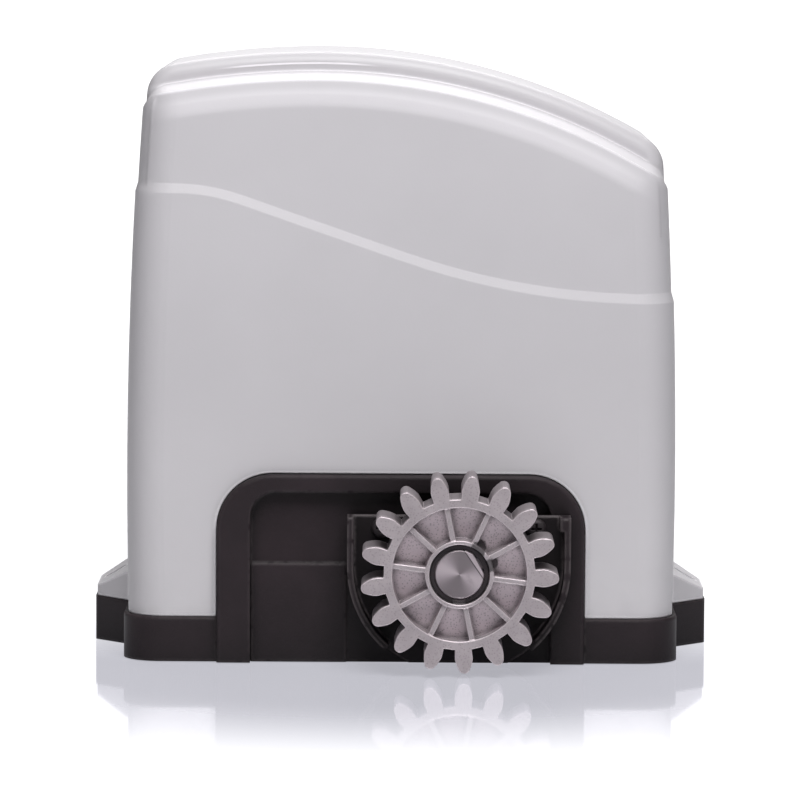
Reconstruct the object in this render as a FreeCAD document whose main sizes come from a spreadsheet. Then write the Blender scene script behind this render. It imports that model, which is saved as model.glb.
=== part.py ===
import FreeCAD, Part
import math
import os
import re
from types import SimpleNamespace

import Sketcher
from FreeCAD import Placement, Rotation, Vector

# Sliding gate motor. Millimetres, +Z up, the gear side faces -Y, floor at Z = 0.

# A size given as text follows from others
SIZES = (
    # output pinion and its shaft
    ("rack_module", 4.0), ("pinion_teeth", 17), ("pressure_angle", 20.0),
    ("pinion_width", 22.0), ("pinion_reach", 38.0), ("tooth_phase", -2.0),
    ("floor_gap", 1.5), ("axis_x", 22.5), ("tip_round", 1.3),
    ("rim_inner_r", 25.7), ("hub_r", 13.1), ("hub_sink_r", 11.6), ("hub_sink", 3.0),
    ("web_sink", 9.0), ("back_sink", 7.0), ("rib_count", 10), ("rib_width", 2.0),
    ("rib_sink", 0.8), ("rib_phase", 29.0), ("lug_width", 5.0),
    ("shaft_r", 10.0), ("shaft_flat", 1.6), ("press_fit", 0.02), ("run_fit", 0.06),
    ("shaft_end_sink", 1.0), ("ring_thick", 1.2), ("ring_groove", 0.7),
    # black base
    ("base_lip", 1.1), ("base_width", "=2 * (cover_half_width + base_lip)"),
    ("base_depth", 150.0), ("plinth_height", 17.5),
    ("plinth_corner", 15.0), ("plinth_taper", 3.0), ("floor_thick", 4.0),
    ("rim_height", 6.0), ("rim_thick", 3.0), ("rim_gap", 0.6),
    ("ear_length", 13.7), ("ear_reach", "=base_width / 2 + ear_length"), ("ear_root", 29.0),
    ("ear_tip", 15.0), ("ear_round", 3.0),
    ("arch_half", 71.8), ("arch_top", 73.8), ("arch_round", 22.0), ("arch_gap", 0.3),
    ("frame_proud", 3.0), ("frame_side", 13.1), ("frame_head", 6.7),
    ("recess_depth", 4.5), ("recess_round", 10.0), ("panel_wall", 5.5),
    ("pad_top", 38.6), ("pad_proud", 1.0), ("pad_left", 58.0), ("pad_right", 21.0),
    ("anchor_x", 168.0), ("anchor_y", 108.0), ("anchor_r", 5.0), ("anchor_slot", 24.0),
    ("anchor_pad", 3.0), ("cable_x", -20.0), ("cable_y", 52.0),
    ("cable_length", 34.0), ("cable_width", 22.0), ("grommet_lip", 2.0), ("grommet_wall", 2.0),
    # guard round the pinion
    ("guard_half", 43.2), ("guard_wall", 2.5), ("guard_top", 58.5), ("guard_reach", 12.0),
    ("guard_plate", 2.0), ("guard_open", 41.0), ("guard_block", 4.2), ("guard_lift", 0.8),
    ("guard_screw_x", 30.0), ("guard_screw_z", 14.0), ("guard_boss_r", 4.5),
    # cover
    ("cover_half_width", 107.2), ("cover_half_depth", 73.7), ("side_bulge", 2090.0),
    ("face_bulge", 3300.0), ("bulge_z", 70.0), ("crest_x", -32.0), ("crest_z", 226.35),
    ("crest_left_r", 330.0), ("crest_right_r", 250.0), ("cover_corner", 15.0),
    ("rim_band", 8.0), ("rim_lean", 0.2), ("rim_soft", 25.0),
    ("hollow_round", 8.0), ("top_corner", 9.0), ("cover_wall", 3.2), ("trim_inset", 0.5),
    ("ledge_run", 18.0), ("ledge_rise", 2.6), ("ledge_tuck", 2.0), ("crown_rise", 10.05),
    ("crown_round", 5.0),
    ("crown_corner", 13.0), ("crown_half_depth", 49.0),
    ("step_proud", 0.9), ("step_left_z", 186.7), ("step_right_z", 144.8),
    ("step_start", -88.0), ("step_angle", 19.0), ("step_crest_r", 80.0), ("step_sag_r", 290.0),
    ("step_slope", 3.5),
    ("shoulder_edge", 4.3), ("shoulder_top", 28.8), ("shoulder_inset", 0.6),
    ("cover_screw_out", 6.3), ("cover_screw_x", "=base_width / 2 + cover_screw_out"),
    ("screw_well_r", 4.25), ("screw_well_z", 20.6),
    ("screw_r", 2.0), ("screw_head_r", 3.9), ("screw_head", 2.6),
    # worm reduction
    ("wheel_module", 2.0), ("wheel_teeth", 30), ("worm_pitch_r", 9.0), ("worm_play", 0.15),
    ("worm_turns", 6), ("wheel_width", 14.0), ("wheel_y", -18.0), ("wheel_hub_r", 18.0),
    ("wheel_hub_front", 11.0), ("wheel_hub_back", 10.0), ("bush_wall", 2.5),
    ("dog_count", 4), ("dog_angle", 36.0), ("dog_height", 3.5), ("clutch_throw", 4.0),
    ("spring_r", 13.0), ("spring_wire", 0.7), ("spring_turns", 3),
    ("sleeve_length", 12.0), ("sleeve_r", 18.0), ("pin_r", 2.0), ("rod_r", 3.0),
    # bearings: bore radius, outer radius and width
    ("big_race_r", 21.0), ("big_race_width", 12.0), ("worm_race_in", 7.5),
    ("worm_race_out", 17.5), ("worm_race_width", 11.0), ("tail_race_in", 5.0),
    ("tail_race_out", 15.0), ("tail_race_width", 9.0), ("race_split", 0.5), ("race_gap", 0.3),
    ("front_race_y", -66.0), ("rear_race_y", 24.0), ("seal_r", 16.0), ("seal_width", 6.0),
    # gearbox casting
    ("drum_r", 35.2), ("drum_wall", 2.2), ("drum_back", 14.0), ("drum_front", -54.0),
    ("nose_r", 25.0), ("nose_gap", 0.3), ("flange_half", 38.0), ("flange_low", 6.0),
    ("flange_high", 74.0), ("flange_thick", 6.0), ("tunnel_r", 21.0), ("tunnel_bore", 13.5),
    ("tunnel_right", 61.0), ("gear_cover_disc", 6.0), ("gear_cover_end", 38.0),
    ("ear_at", 27.5), ("ear_r", 4.2), ("bolt_x", 32.0), ("bolt_z", 25.0), ("bolt_r", 3.0),
    ("bolt_head_r", 5.0), ("bolt_head", 4.0),
    # motor
    ("motor_r", 41.0), ("shield_wall", 3.0), ("motor_room", 8.2),
    ("motor_tail", "=motor_room - cover_half_width"), ("tail_room", 16.0),
    ("stack_left", "=motor_tail + tail_room"),
    ("stack_right", -43.0), ("motor_face", -18.0), ("stator_bore", 22.5), ("rotor_gap", 0.5),
    ("cage_length", 3.5),
    ("rotor_shaft_r", 8.0), ("winding_in", 25.0), ("winding_out", 35.0), ("winding_reach", 9.0),
    ("tie_circle", 37.0), ("tie_r", 1.8), ("tie_head_r", 3.2), ("tie_head", 2.4),
    # manual release at the back
    ("release_left", 14.0), ("release_right", 42.0), ("release_top", 60.0), ("release_y", 50.0),
    ("release_back", 75.5), ("pocket_left", 10.5), ("pocket_right", 39.5), ("pocket_half", 9.5),
    ("pocket_floor", 57.0), ("lever_half", 8.0), ("lever_y", 66.5), ("lever_length", 36.0),
    ("lever_thick", 8.0), ("lever_round", 3.0), ("cam_low", 5.0), ("cam_play", 0.2),
    ("pivot_r", 2.0), ("lock_r", 5.5), ("lock_x", 25.0),
    # control board and electrics
    ("carrier_room", 11.2), ("carrier_left", "=carrier_room - cover_half_width"),
    ("carrier_right", -5.0), ("carrier_y", 27.0), ("carrier_thick", 3.0),
    ("carrier_top", 192.0), ("carrier_foot", 8.5), ("board_margin", 8.0),
    ("board_left", "=carrier_left + board_margin"), ("board_right", -9.0),
    ("board_low", 98.0), ("board_high", 184.0), ("board_thick", 1.6), ("post_height", 6.0),
    ("post_r", 3.5), ("post_inset", 5.0), ("cap_in", 24.0), ("cap_x", "=carrier_left + cap_in"),
    ("cap_r", 15.0), ("cap_low", 40.0),
    ("cap_high", 92.0), ("clip_wall", 1.5), ("clip_height", 12.0),
)

doc = FreeCAD.newDocument("gate_motor")
sheet = doc.addObject("Spreadsheet::Sheet", "sizes")
for row, (alias, value) in enumerate(SIZES, 1):
    sheet.set("A%d" % row, alias)
    sheet.set("B%d" % row, str(value))
    sheet.setAlias("B%d" % row, alias)
doc.recompute()
size = SimpleNamespace(**{alias: float(sheet.get(alias)) for alias, value in SIZES})
NAMES = {alias for alias, value in SIZES}

# Formulas that several pieces share
AXIS_Z = "(rack_module * (pinion_teeth + 2) / 2 + floor_gap)"
WORM_Z = "(%s + wheel_module * wheel_teeth / 2 + worm_pitch_r)" % AXIS_Z
PLINTH_FRONT = "(-base_depth / 2)"
FRAME_FRONT = "(-base_depth / 2 - frame_proud)"
PANEL_FRONT = "(-base_depth / 2 - frame_proud + recess_depth)"
PANEL_BACK = "(-base_depth / 2 - frame_proud + recess_depth + panel_wall)"
PINION_FRONT = "(-base_depth / 2 - pinion_reach)"
PINION_BACK = "(-base_depth / 2 - pinion_reach + pinion_width)"
RIM_X = "(cover_half_width - step_proud - cover_wall - rim_gap - 0.7)"
RIM_Y = "(cover_half_depth - step_proud - cover_wall - rim_gap - 0.5)"
TURNS = {
    "X": Rotation(Vector(0, 1, 0), 90),
    "Y": Rotation(Vector(1, 0, 0), -90),
    "Z": Rotation(),
}
nodes = {}


def formula(text):
    """Point every size named in a formula at its cell."""
    return re.sub(r"[a-z]\w*", lambda word: "sizes." + word.group() if word.group() in NAMES
                  else word.group(), str(text))


def bind(item, **texts):
    """Tie properties of an object to formulas over the sheet."""
    for prop, text in texts.items():
        item.setExpression(prop.replace("__", "."), formula(text))
    return item


def at(item, x="0", y="0", z="0", turn=None):
    """Place an object by formulas."""
    if turn is not None:
        item.Placement = Placement(Vector(), turn)
    return bind(item, Placement__Base__x=x, Placement__Base__y=y, Placement__Base__z=z)


def box(name, xs, ys, zs):
    """A block between two formulas on each axis."""
    item = doc.addObject("Part::Box", name)
    spans = ["(%s) - (%s)" % (high, low) for low, high in (xs, ys, zs)]
    bind(item, Length=spans[0], Width=spans[1], Height=spans[2])
    return at(item, xs[0], ys[0], zs[0])


def rod(name, axis, across, span, radius):
    """A cylinder along one axis; across holds the other two coordinates in order."""
    item = doc.addObject("Part::Cylinder", name)
    bind(item, Radius=radius, Height="(%s) - (%s)" % (span[1], span[0]))
    place = list(across)
    place.insert("XYZ".index(axis), span[0])
    return at(item, *place, turn=TURNS[axis])


def fuse(name, *items):
    item = doc.addObject("Part::MultiFuse", name)
    item.Shapes = list(items)
    return item


def joined(name, base, tool):
    """Two pieces made one; surer than a longer fuse where bulged faces cross at small angles."""
    item = doc.addObject("Part::Fuse", name)
    item.Base = base
    item.Tool = tool
    return item


def common(name, *items):
    item = doc.addObject("Part::MultiCommon", name)
    item.Shapes = list(items)
    return item


def cut(name, base, *tools):
    item = doc.addObject("Part::Cut", name)
    item.Base = base
    item.Tool = tools[0] if len(tools) == 1 else fuse(name + "_tools", *tools)
    return item


def tube(name, axis, across, span, outer, inner):
    """A plain ring."""
    wide = ("(%s) - 1" % span[0], "(%s) + 1" % span[1])
    return cut(name, rod(name + "_out", axis, across, span, outer),
               rod(name + "_in", axis, across, wide, inner))


def group(name, *items):
    """Loose solids of one kind kept together as one node."""
    item = doc.addObject("Part::Compound", name)
    item.Links = list(items)
    return item


def rounded(name, base, pick, kind="Part::Fillet"):
    """Round the edges for which pick gives one radius, or a pair for a sloped chamfer."""
    doc.recompute()
    item = doc.addObject(kind, name)
    item.Base = base
    edges = []
    for number, edge in enumerate(base.Shape.Edges, 1):
        radius = pick(edge)
        if radius:
            pair = radius if isinstance(radius, tuple) else (radius, radius)
            edges.append((number, pair[0], pair[1]))
    item.Edges = edges
    return item


def own(name, shape):
    """A piece whose form needs Part's own functions."""
    item = doc.addObject("Part::Feature", name)
    item.Shape = shape
    return item


def node(name, item):
    item.Label = name
    nodes[name] = item
    return item


def along(edge, axis):
    """True for an edge that runs only along one axis."""
    bounds = edge.BoundBox
    lengths = {"X": bounds.XLength, "Y": bounds.YLength, "Z": bounds.ZLength}
    longest = lengths.pop(axis)
    return longest > 1e-3 and max(lengths.values()) < 1e-3


def sketch_on(body, plane, name):
    """A sketch on one of the body's own origin planes."""
    sketch = body.newObject("Sketcher::SketchObject", name)
    support = [part for part in body.Origin.OriginFeatures if part.Role == plane][0]
    sketch.AttachmentSupport = [(support, "")]
    sketch.MapMode = "FlatFace"
    return sketch


def outline(body, plane, name, corners):
    """A closed outline of straight lines whose corners are held by formulas."""
    sketch = sketch_on(body, plane, name)
    count = len(corners)
    ring = [Vector(math.cos(2 * math.pi * k / count), math.sin(2 * math.pi * k / count), 0)
            for k in range(count)]
    for k in range(count):
        sketch.addGeometry(Part.LineSegment(ring[k], ring[(k + 1) % count]))
    for k in range(count):
        sketch.addConstraint(Sketcher.Constraint("Coincident", k, 2, (k + 1) % count, 1))
    for k, corner in enumerate(corners):
        for kind, text, line in (("DistanceX", corner[0], -2), ("DistanceY", corner[1], -1)):
            if text == "0":
                sketch.addConstraint(Sketcher.Constraint("PointOnObject", k, 1, line))
                continue
            start = ring[k].x if kind == "DistanceX" else ring[k].y
            index = sketch.addConstraint(Sketcher.Constraint(kind, -1, 1, k, 1, start))
            sketch.setExpression("Constraints[%d]" % index, formula(text))
    return sketch


def turned(name, axis, corners, x="0", y="0", z="0"):
    """A turned piece: corners are (distance along the axis, radius) formulas."""
    body = doc.addObject("PartDesign::Body", name)
    profile = outline(body, "XZ_Plane", name + "_profile", [(r, h) for h, r in corners])
    turn = body.newObject("PartDesign::Revolution", name + "_turn")
    turn.Profile = profile
    turn.ReferenceAxis = (profile, ["V_Axis"])
    turn.Angle = 360.0
    return at(body, x, y, z, turn=TURNS[axis])


def padded(name, plane, corners, length, x="0", y="0", z="0", reverse=False):
    """A body padded from a straight-sided outline."""
    body = doc.addObject("PartDesign::Body", name)
    profile = outline(body, plane, name + "_profile", corners)
    pad = body.newObject("PartDesign::Pad", name + "_pad")
    pad.Profile = profile
    pad.Reversed = reverse
    bind(pad, Length=length)
    return at(body, x, y, z)


def gear_outline(module, teeth, steps, tip_round=0.0):
    """Outline of a whole gear: involute flanks, round roots and, if asked for, round tips."""
    pitch = module * teeth / 2
    base = pitch * math.cos(math.radians(size.pressure_angle))
    tip = pitch + module
    root = pitch - 1.25 * module
    spread = math.tan(math.acos(base / pitch)) - math.acos(base / pitch)

    def half(radius):
        slope = math.acos(min(1.0, base / radius))
        return math.pi / (2 * teeth) + spread - math.tan(slope) + slope

    def point(radius, angle):
        return Vector(radius * math.cos(angle), radius * math.sin(angle), 0)

    low = max(base, root)
    radii = [low + (tip - tip_round - low) * k / steps for k in range(steps + 1)]
    edges = []
    for k in range(int(teeth)):
        mid = 2 * math.pi * k / teeth
        after = mid + 2 * math.pi / teeth
        rise = [point(r, mid - half(r)) for r in radii]
        fall = [point(r, mid + half(r)) for r in reversed(radii)]
        foot = point(root, mid - half(low))
        heel = point(root, mid + half(low))
        sides = (rise, fall)
        if root < low:
            edges.append(Part.makeLine(foot, rise[0]))
        for side in sides:
            if tip_round:
                curve = Part.BSplineCurve()
                curve.interpolate(side)
                edges.append(curve.toShape())
            else:
                edges.extend(Part.makeLine(p, q) for p, q in zip(side, side[1:]))
            if side is rise:
                if tip_round:
                    edges.append(Part.Arc(rise[-1], point(tip, mid), fall[0]).toShape())
                else:
                    edges.append(Part.makeLine(rise[-1], fall[0]))
        if root < low:
            edges.append(Part.makeLine(fall[-1], heel))
        edges.append(Part.makeLine(heel, point(root, after - half(low))))
    return Part.Wire(edges)


# Cover: bulged blocks make its outside and its hollow

def bulged(name, grow, lift, half_depth, low):
    """A block with bulged walls and the crested top; grow widens it, lift raises the top."""
    depth = ("-(%s) - 20" % half_depth, "(%s) + 20" % half_depth)
    reach = ("-cover_half_width - 30", "cover_half_width + 30")
    halves = []
    for side, span, radius in (("left", (reach[0], "crest_x"), "crest_left_r"),
                               ("right", ("crest_x", reach[1]), "crest_right_r")):
        block = box(name + "_block_" + side, span, depth, (low, "crest_z + 40"))
        centre = "crest_z - %s" % radius
        crest = rod(name + "_crest_" + side, "Y", ("crest_x", centre), depth,
                    "%s + (%s)" % (radius, lift))
        halves.append(common(name + "_" + side, block, crest))
    walls = []
    for side, sign in (("w", "-1"), ("e", "1")):
        middle = "%s * (cover_half_width + (%s) - side_bulge)" % (sign, grow)
        walls.append(rod(name + "_wall_" + side, "Y", (middle, "bulge_z"), depth, "side_bulge"))
    for side, sign in (("s", "-1"), ("n", "1")):
        middle = "%s * ((%s) - face_bulge)" % (sign, half_depth)
        walls.append(rod(name + "_wall_" + side, "X", (middle, "bulge_z"), reach, "face_bulge"))
    return common(name, fuse(name + "_top", *halves), *walls)


def block_edges(base, low, corner, top, upright):
    """Radii for a bulged block: top corners, top rim and upright edges."""
    high = base.Shape.BoundBox.ZMax

    def pick(edge):
        bounds = edge.BoundBox
        if bounds.ZMax < low + 1:
            return None
        if bounds.YLength > 60:
            crest = bounds.ZMax > high - 0.5
            return None if crest or bounds.ZLength > 0.01 else corner
        if bounds.ZLength > 20 and bounds.XLength < 8:
            return upright
        return top
    return pick


def upright(edge):
    """True for the edges that run up a corner of a bulged block."""
    bounds = edge.BoundBox
    return bounds.ZLength > 0.5 and bounds.XLength < 8 and bounds.YLength < 8


def rim_foot(edge, block, low):
    """True for the edges along the foot of a leaning rim."""
    bounds = edge.BoundBox
    if bounds.XLength < 30 or bounds.ZMin < low + 1:
        return False
    faces = [face for face in block.Shape.Faces if any(edge.isSame(e) for e in face.Edges)]
    return not any(faces_up(face) for face in faces)


def step_region():
    """Everything below the S-shaped step, as one prism through the depth."""
    angle = math.radians(size.step_angle)
    left = Vector(-size.cover_half_width - 20, 0, size.step_left_z)
    p1 = Vector(size.step_start, 0, size.step_left_z)
    p2 = p1 + Vector(math.sin(angle), 0, math.cos(angle) - 1) * size.step_crest_r
    sag = size.step_sag_r * (1 - math.cos(angle))
    run = (p2.z - size.step_right_z - sag) / math.tan(angle)
    p3 = p2 + Vector(run, 0, -run * math.tan(angle))
    p4 = p3 + Vector(size.step_sag_r * math.sin(angle), 0, -sag)
    right = Vector(size.cover_half_width + 20, 0, size.step_right_z)
    half = angle / 2
    m1 = p1 + Vector(math.sin(half), 0, math.cos(half) - 1) * size.step_crest_r
    m2 = p4 + Vector(-math.sin(half), 0, 1 - math.cos(half)) * size.step_sag_r
    low = size.plinth_height - 5
    curve = [
        Part.makeLine(left, p1), Part.Arc(p1, m1, p2).toShape(), Part.makeLine(p2, p3),
        Part.Arc(p3, m2, p4).toShape(), Part.makeLine(p4, right),
        Part.makeLine(right, Vector(right.x, 0, low)),
        Part.makeLine(Vector(right.x, 0, low), Vector(left.x, 0, low)),
        Part.makeLine(Vector(left.x, 0, low), left),
    ]
    face = Part.Face(Part.Wire(curve))
    prism = face.extrude(Vector(0, 2 * size.cover_half_depth + 40, 0))
    prism.translate(Vector(0, -size.cover_half_depth - 20, 0))
    return prism


def faces_up(face):
    u_low, u_high, v_low, v_high = face.ParameterRange
    return face.normalAt((u_low + u_high) / 2, (v_low + v_high) / 2).z > 0.5


def sloped(name, base, drop, run, sides):
    """A chamfer round the top faces that falls by drop over run; sides takes in the ends too."""
    doc.recompute()
    faces = base.Shape.Faces
    tops = [faces_up(face) and face.BoundBox.YLength > 40 for face in faces]

    def pick(edge):
        beside = [k for k, face in enumerate(faces) if any(edge.isSame(e) for e in face.Edges)]
        if sum(tops[k] for k in beside) != 1 or not sides and edge.BoundBox.YLength > 40:
            return None
        return (run, drop) if tops[beside[0]] else (drop, run)
    return rounded(name, base, pick, "Part::Chamfer")


def ear_plan(name, sign, inset, low, high):
    """One side ear seen from above, as a prism."""
    body = padded(name, "XY_Plane", [
        (sign + " * (cover_half_width - 8)", "-ear_root + %s" % inset),
        (sign + " * (base_width / 2)", "-ear_root + %s" % inset),
        (sign + " * (ear_reach - %s)" % inset, "-ear_tip + %s" % inset),
        (sign + " * (ear_reach - %s)" % inset, "ear_tip - %s" % inset),
        (sign + " * (base_width / 2)", "ear_root - %s" % inset),
        (sign + " * (cover_half_width - 8)", "ear_root - %s" % inset)],
        "(%s) - (%s)" % (high, low), z=low)
    reach = size.ear_reach - 2
    return rounded(name + "_round", body, lambda edge: size.ear_round if along(edge, "Z")
                   and abs(edge.BoundBox.XMin) > reach else None)


def make_cover():
    low = size.plinth_height
    # slopes run on past the face they meet by this share, so that they cross it cleanly
    sink = 1.25
    ledge_sink = 1.1
    # the block is built too tall, so that the leaning rim ends sharp where the cap cuts it
    tall = 12.0
    upper = bulged("upper", "-step_proud", str(tall), "cover_half_depth - step_proud", "plinth_height")
    upper = sloped("upper_lean", upper, tall + size.rim_band, (tall + size.rim_band) * size.rim_lean, False)
    doc.recompute()
    upper = rounded("upper_soft", upper, lambda edge: size.rim_soft if rim_foot(edge, upper, low) else None)
    upper = rounded("upper_round", upper, lambda edge: size.cover_corner - size.step_proud
                    if upright(edge) else None)
    cap = bulged("cap", "0.2 - step_proud", "0", "cover_half_depth + 10", "plinth_height - 10")
    doc.recompute()
    cap = rounded("cap_round", cap, block_edges(cap, low, size.top_corner, None, None))
    upper = common("upper_rim", upper, cap)

    skirt = bulged("skirt", "0", "0", "cover_half_depth", "plinth_height")
    doc.recompute()
    skirt = rounded("skirt_round", skirt, block_edges(skirt, low, None, None, size.cover_corner))
    skirt = common("skirt_cut", skirt, own("step_region", step_region()))
    skirt = sloped("skirt_slope", skirt, size.step_slope * sink, size.step_proud * sink, True)

    ledge = bulged("ledge", "-step_proud - trim_inset", "ledge_rise + ledge_tuck * ledge_rise / ledge_run",
                   "crown_half_depth + ledge_run * %s" % ledge_sink, "crest_z - 60")
    doc.recompute()
    ledge = rounded("ledge_round", ledge, block_edges(
        ledge, size.crest_z - 60, size.top_corner + size.ledge_rise / 2, None, None))
    run = size.ledge_run * ledge_sink + size.ledge_tuck
    ledge = sloped("ledge_slope", ledge, run * size.ledge_rise / size.ledge_run, run, False)
    crown = bulged("crown", "-step_proud - trim_inset", "crown_rise", "crown_half_depth",
                   "crest_z - 66")
    doc.recompute()
    crown = rounded("crown_round", crown, block_edges(
        crown, size.crest_z - 66, size.crown_corner, size.crown_round, size.crown_round))

    hollow = bulged("hollow", "-step_proud - cover_wall", "-cover_wall",
                    "cover_half_depth - step_proud - cover_wall", "plinth_height - 5")
    doc.recompute()
    hollow = rounded("hollow_round", hollow, block_edges(
        hollow, low - 5, size.top_corner - size.cover_wall, size.hollow_round,
        size.cover_corner - size.cover_wall))
    attic = bulged("attic", "-step_proud - trim_inset - crown_corner", "crown_rise - cover_wall",
                   "crown_half_depth - crown_round", "crest_z - 70")

    top = joined("cover_top", ledge, crown)
    solids = [joined("cover_block", joined("cover_hat", upper, top), skirt)]
    holes = [hollow, attic]
    for side, sign in (("left", "-1"), ("right", "1")):
        slab = padded("shoulder_slab_" + side, "XZ_Plane", [
            (sign + " * (cover_half_width - 2.5)", "plinth_height"),
            (sign + " * (ear_reach - shoulder_inset)", "plinth_height"),
            (sign + " * (ear_reach - shoulder_inset)", "plinth_height + shoulder_edge"),
            (sign + " * (cover_half_width + 2)", "shoulder_top"),
            (sign + " * (cover_half_width - 2.5)", "shoulder_top + 2")],
            "2 * ear_root", y="ear_root")
        plan = ear_plan("shoulder_plan_" + side, sign, "shoulder_inset", "plinth_height", "40")
        solids.append(common("shoulder_" + side, slab, plan))
        across = (sign + " * cover_screw_x", "0")
        holes.append(rod("well_" + side, "Z", across, ("screw_well_z", "60"), "screw_well_r"))
        holes.append(rod("well_hole_" + side, "Z", across, ("0", "60"), "screw_r + 0.3"))
    front = box("arch_block", ("-arch_half", "arch_half"),
                ("-cover_half_depth - 10", "-cover_half_depth + 15"), ("0", "arch_top"))
    holes.append(rounded("arch_hole", front, lambda edge: size.arch_round
                         if along(edge, "Y") and edge.BoundBox.ZMin > 10 else None))
    back = box("release_block", ("axis_x - release_left - arch_gap", "axis_x + release_right + arch_gap"),
               ("cover_half_depth - 15", "cover_half_depth + 10"), ("0", "release_top + arch_gap"))
    holes.append(rounded("release_hole", back, lambda edge: size.recess_round
                         if along(edge, "Y") and edge.BoundBox.ZMin > 20 else None))
    cover = node("cover", cut("cover", fuse("cover_solid", *solids), *holes))
    doc.recompute()
    if abs(cover.Shape.optimalBoundingBox().ZMax - size.crest_z - size.crown_rise) > 0.1:
        raise ValueError("the cover lost its crown")


make_cover()


# Black base: plinth, ears, rim, arched frame with its recess, anchor slots and cable opening

def make_base():
    plinth = box("plinth_block", ("-base_width / 2", "base_width / 2"),
                 ("-base_depth / 2", "base_depth / 2"), ("0", "plinth_height"))
    plinth = rounded("plinth", plinth, lambda edge: size.plinth_corner if along(edge, "Z") else None)
    plinth = rounded("plinth_edge", plinth, lambda edge: 1.0 if edge.BoundBox.ZMin > 1
                     and edge.BoundBox.ZLength < 0.01 else None)
    rim = box("rim_block", ("-" + RIM_X, RIM_X), ("-" + RIM_Y, RIM_Y),
              ("floor_thick", "plinth_height + rim_height"))
    rim = rounded("rim", rim, lambda edge: size.cover_corner - size.cover_wall - size.rim_gap
                  if along(edge, "Z") else None)
    frame = box("frame_block", ("-arch_half + arch_gap", "arch_half - arch_gap"),
                (FRAME_FRONT, PANEL_BACK), ("0", "arch_top - arch_gap"))
    frame = rounded("frame", frame, lambda edge: size.arch_round - size.arch_gap
                    if along(edge, "Y") and edge.BoundBox.ZMin > 10 else None)
    front_edge = size.base_depth / 2 + size.frame_proud - 0.01
    frame = rounded("frame_edge", frame, lambda edge: 1.2 if edge.BoundBox.YMax < -front_edge
                    and edge.BoundBox.ZMax > 1 else None)
    solids = [plinth, rim, frame]
    tools = []
    for side, sign in (("left", "-1"), ("right", "1")):
        solids.append(ear_plan("ear_" + side, sign, "0", "0", "plinth_height"))
        tools.append(rod("ear_hole_" + side, "Z", (sign + " * cover_screw_x", "0"),
                         ("6", "30"), "screw_r + press_fit"))
    inside = box("tray", ("-%s + rim_thick" % RIM_X, "%s - rim_thick" % RIM_X),
                 ("-%s + rim_thick" % RIM_Y, "%s - rim_thick" % RIM_Y), ("floor_thick", "60"))
    inside = rounded("tray_round", inside, lambda edge: size.cover_corner - size.cover_wall
                     - size.rim_gap - size.rim_thick if along(edge, "Z") else None)
    behind = box("tray_front", ("-arch_half + frame_side / 2", "arch_half - frame_side / 2"),
                 (PANEL_BACK, "0"), ("floor_thick", "60"))
    tools.append(fuse("tray_full", inside, behind))
    half = "(arch_half - arch_gap - frame_side)"
    recess = box("recess_block", ("-" + half, half), (FRAME_FRONT + " - 5", PANEL_FRONT),
                 ("-5", "arch_top - arch_gap - frame_head"))
    tools.append(rounded("recess", recess, lambda edge: size.recess_round
                         if along(edge, "Y") and edge.BoundBox.ZMin > 10 else None))
    tools.append(rod("nose_hole", "Y", ("axis_x", AXIS_Z), ("-120", "-40"), "nose_r + nose_gap"))
    tools.append(box("release_notch",
                     ("axis_x - release_left - arch_gap", "axis_x + release_right + arch_gap"),
                     ("release_y", "base_depth"), ("plinth_height", "60")))
    pads = []
    for k, (sx, sy) in enumerate((("-1", "-1"), ("1", "-1"), ("-1", "1"), ("1", "1"))):
        x = "%s * anchor_x / 2" % sx
        y = "%s * anchor_y / 2" % sy
        run = "(anchor_slot / 2 - anchor_r)"
        pads.append(box("anchor_pad_%d" % k, (x + " - anchor_slot / 2 - 3", x + " + anchor_slot / 2 + 3"),
                        (y + " - anchor_r - 4", y + " + anchor_r + 4"),
                        ("floor_thick - 1", "floor_thick + anchor_pad")))
        slot = [box("anchor_mid_%d" % k, (x + " - " + run, x + " + " + run),
                    (y + " - anchor_r", y + " + anchor_r"), ("-5", "30"))]
        for end in ("-", "+"):
            slot.append(rod("anchor_end_%d%s" % (k, "a" if end == "-" else "b"), "Z",
                            (x + end + run, y), ("-5", "30"), "anchor_r"))
        tools.append(fuse("anchor_slot_%d" % k, *slot))
    for k, sx in enumerate(("-1", "1")):
        for j, sz in enumerate(("-1", "1")):
            tools.append(rod("bolt_hole_%d%d" % (k, j), "Y",
                             ("axis_x + %s * bolt_x" % sx, "%s + %s * bolt_z" % (AXIS_Z, sz)),
                             (PANEL_FRONT + " + 1.5", "-40"), "bolt_r + press_fit"))
        tools.append(rod("guard_hole_%d" % k, "Y",
                         ("axis_x + %s * guard_screw_x" % sx, AXIS_Z + " + guard_screw_z"),
                         (PANEL_FRONT + " - 5", PANEL_BACK + " + 1"), "screw_r + press_fit"))
    tools.append(box("cable_opening", ("cable_x - cable_length / 2", "cable_x + cable_length / 2"),
                     ("cable_y - cable_width / 2", "cable_y + cable_width / 2"), ("-5", "20")))
    for k, x in enumerate(("carrier_left + 12", "carrier_right - 10")):
        tools.append(rod("foot_seat_%d" % k, "Z", (x, "carrier_y + carrier_thick + 4.5"), ("0.8", "20"),
                         "screw_r + press_fit"))
    pad = box("recess_pad", ("-pad_left", "-pad_right"), (PANEL_FRONT + " - pad_proud", PANEL_FRONT),
              ("0", "pad_top"))
    hollow = cut("base_tray", fuse("base_solid", *solids), *tools[2:4])
    body = fuse("base_full", hollow, pad, *pads)
    return node("base_housing", cut("base_housing", body, *(tools[:2] + tools[4:])))


make_base()


# Output pinion, its shaft and the rings that hold it

FACING = Rotation(Vector(1, 0, 0), 90)


def spin(angle):
    """A turn that lays a flat drawing on the gear side, turned by an angle as seen from there."""
    return FACING.multiply(Rotation(Vector(0, 0, 1), angle))


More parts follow.
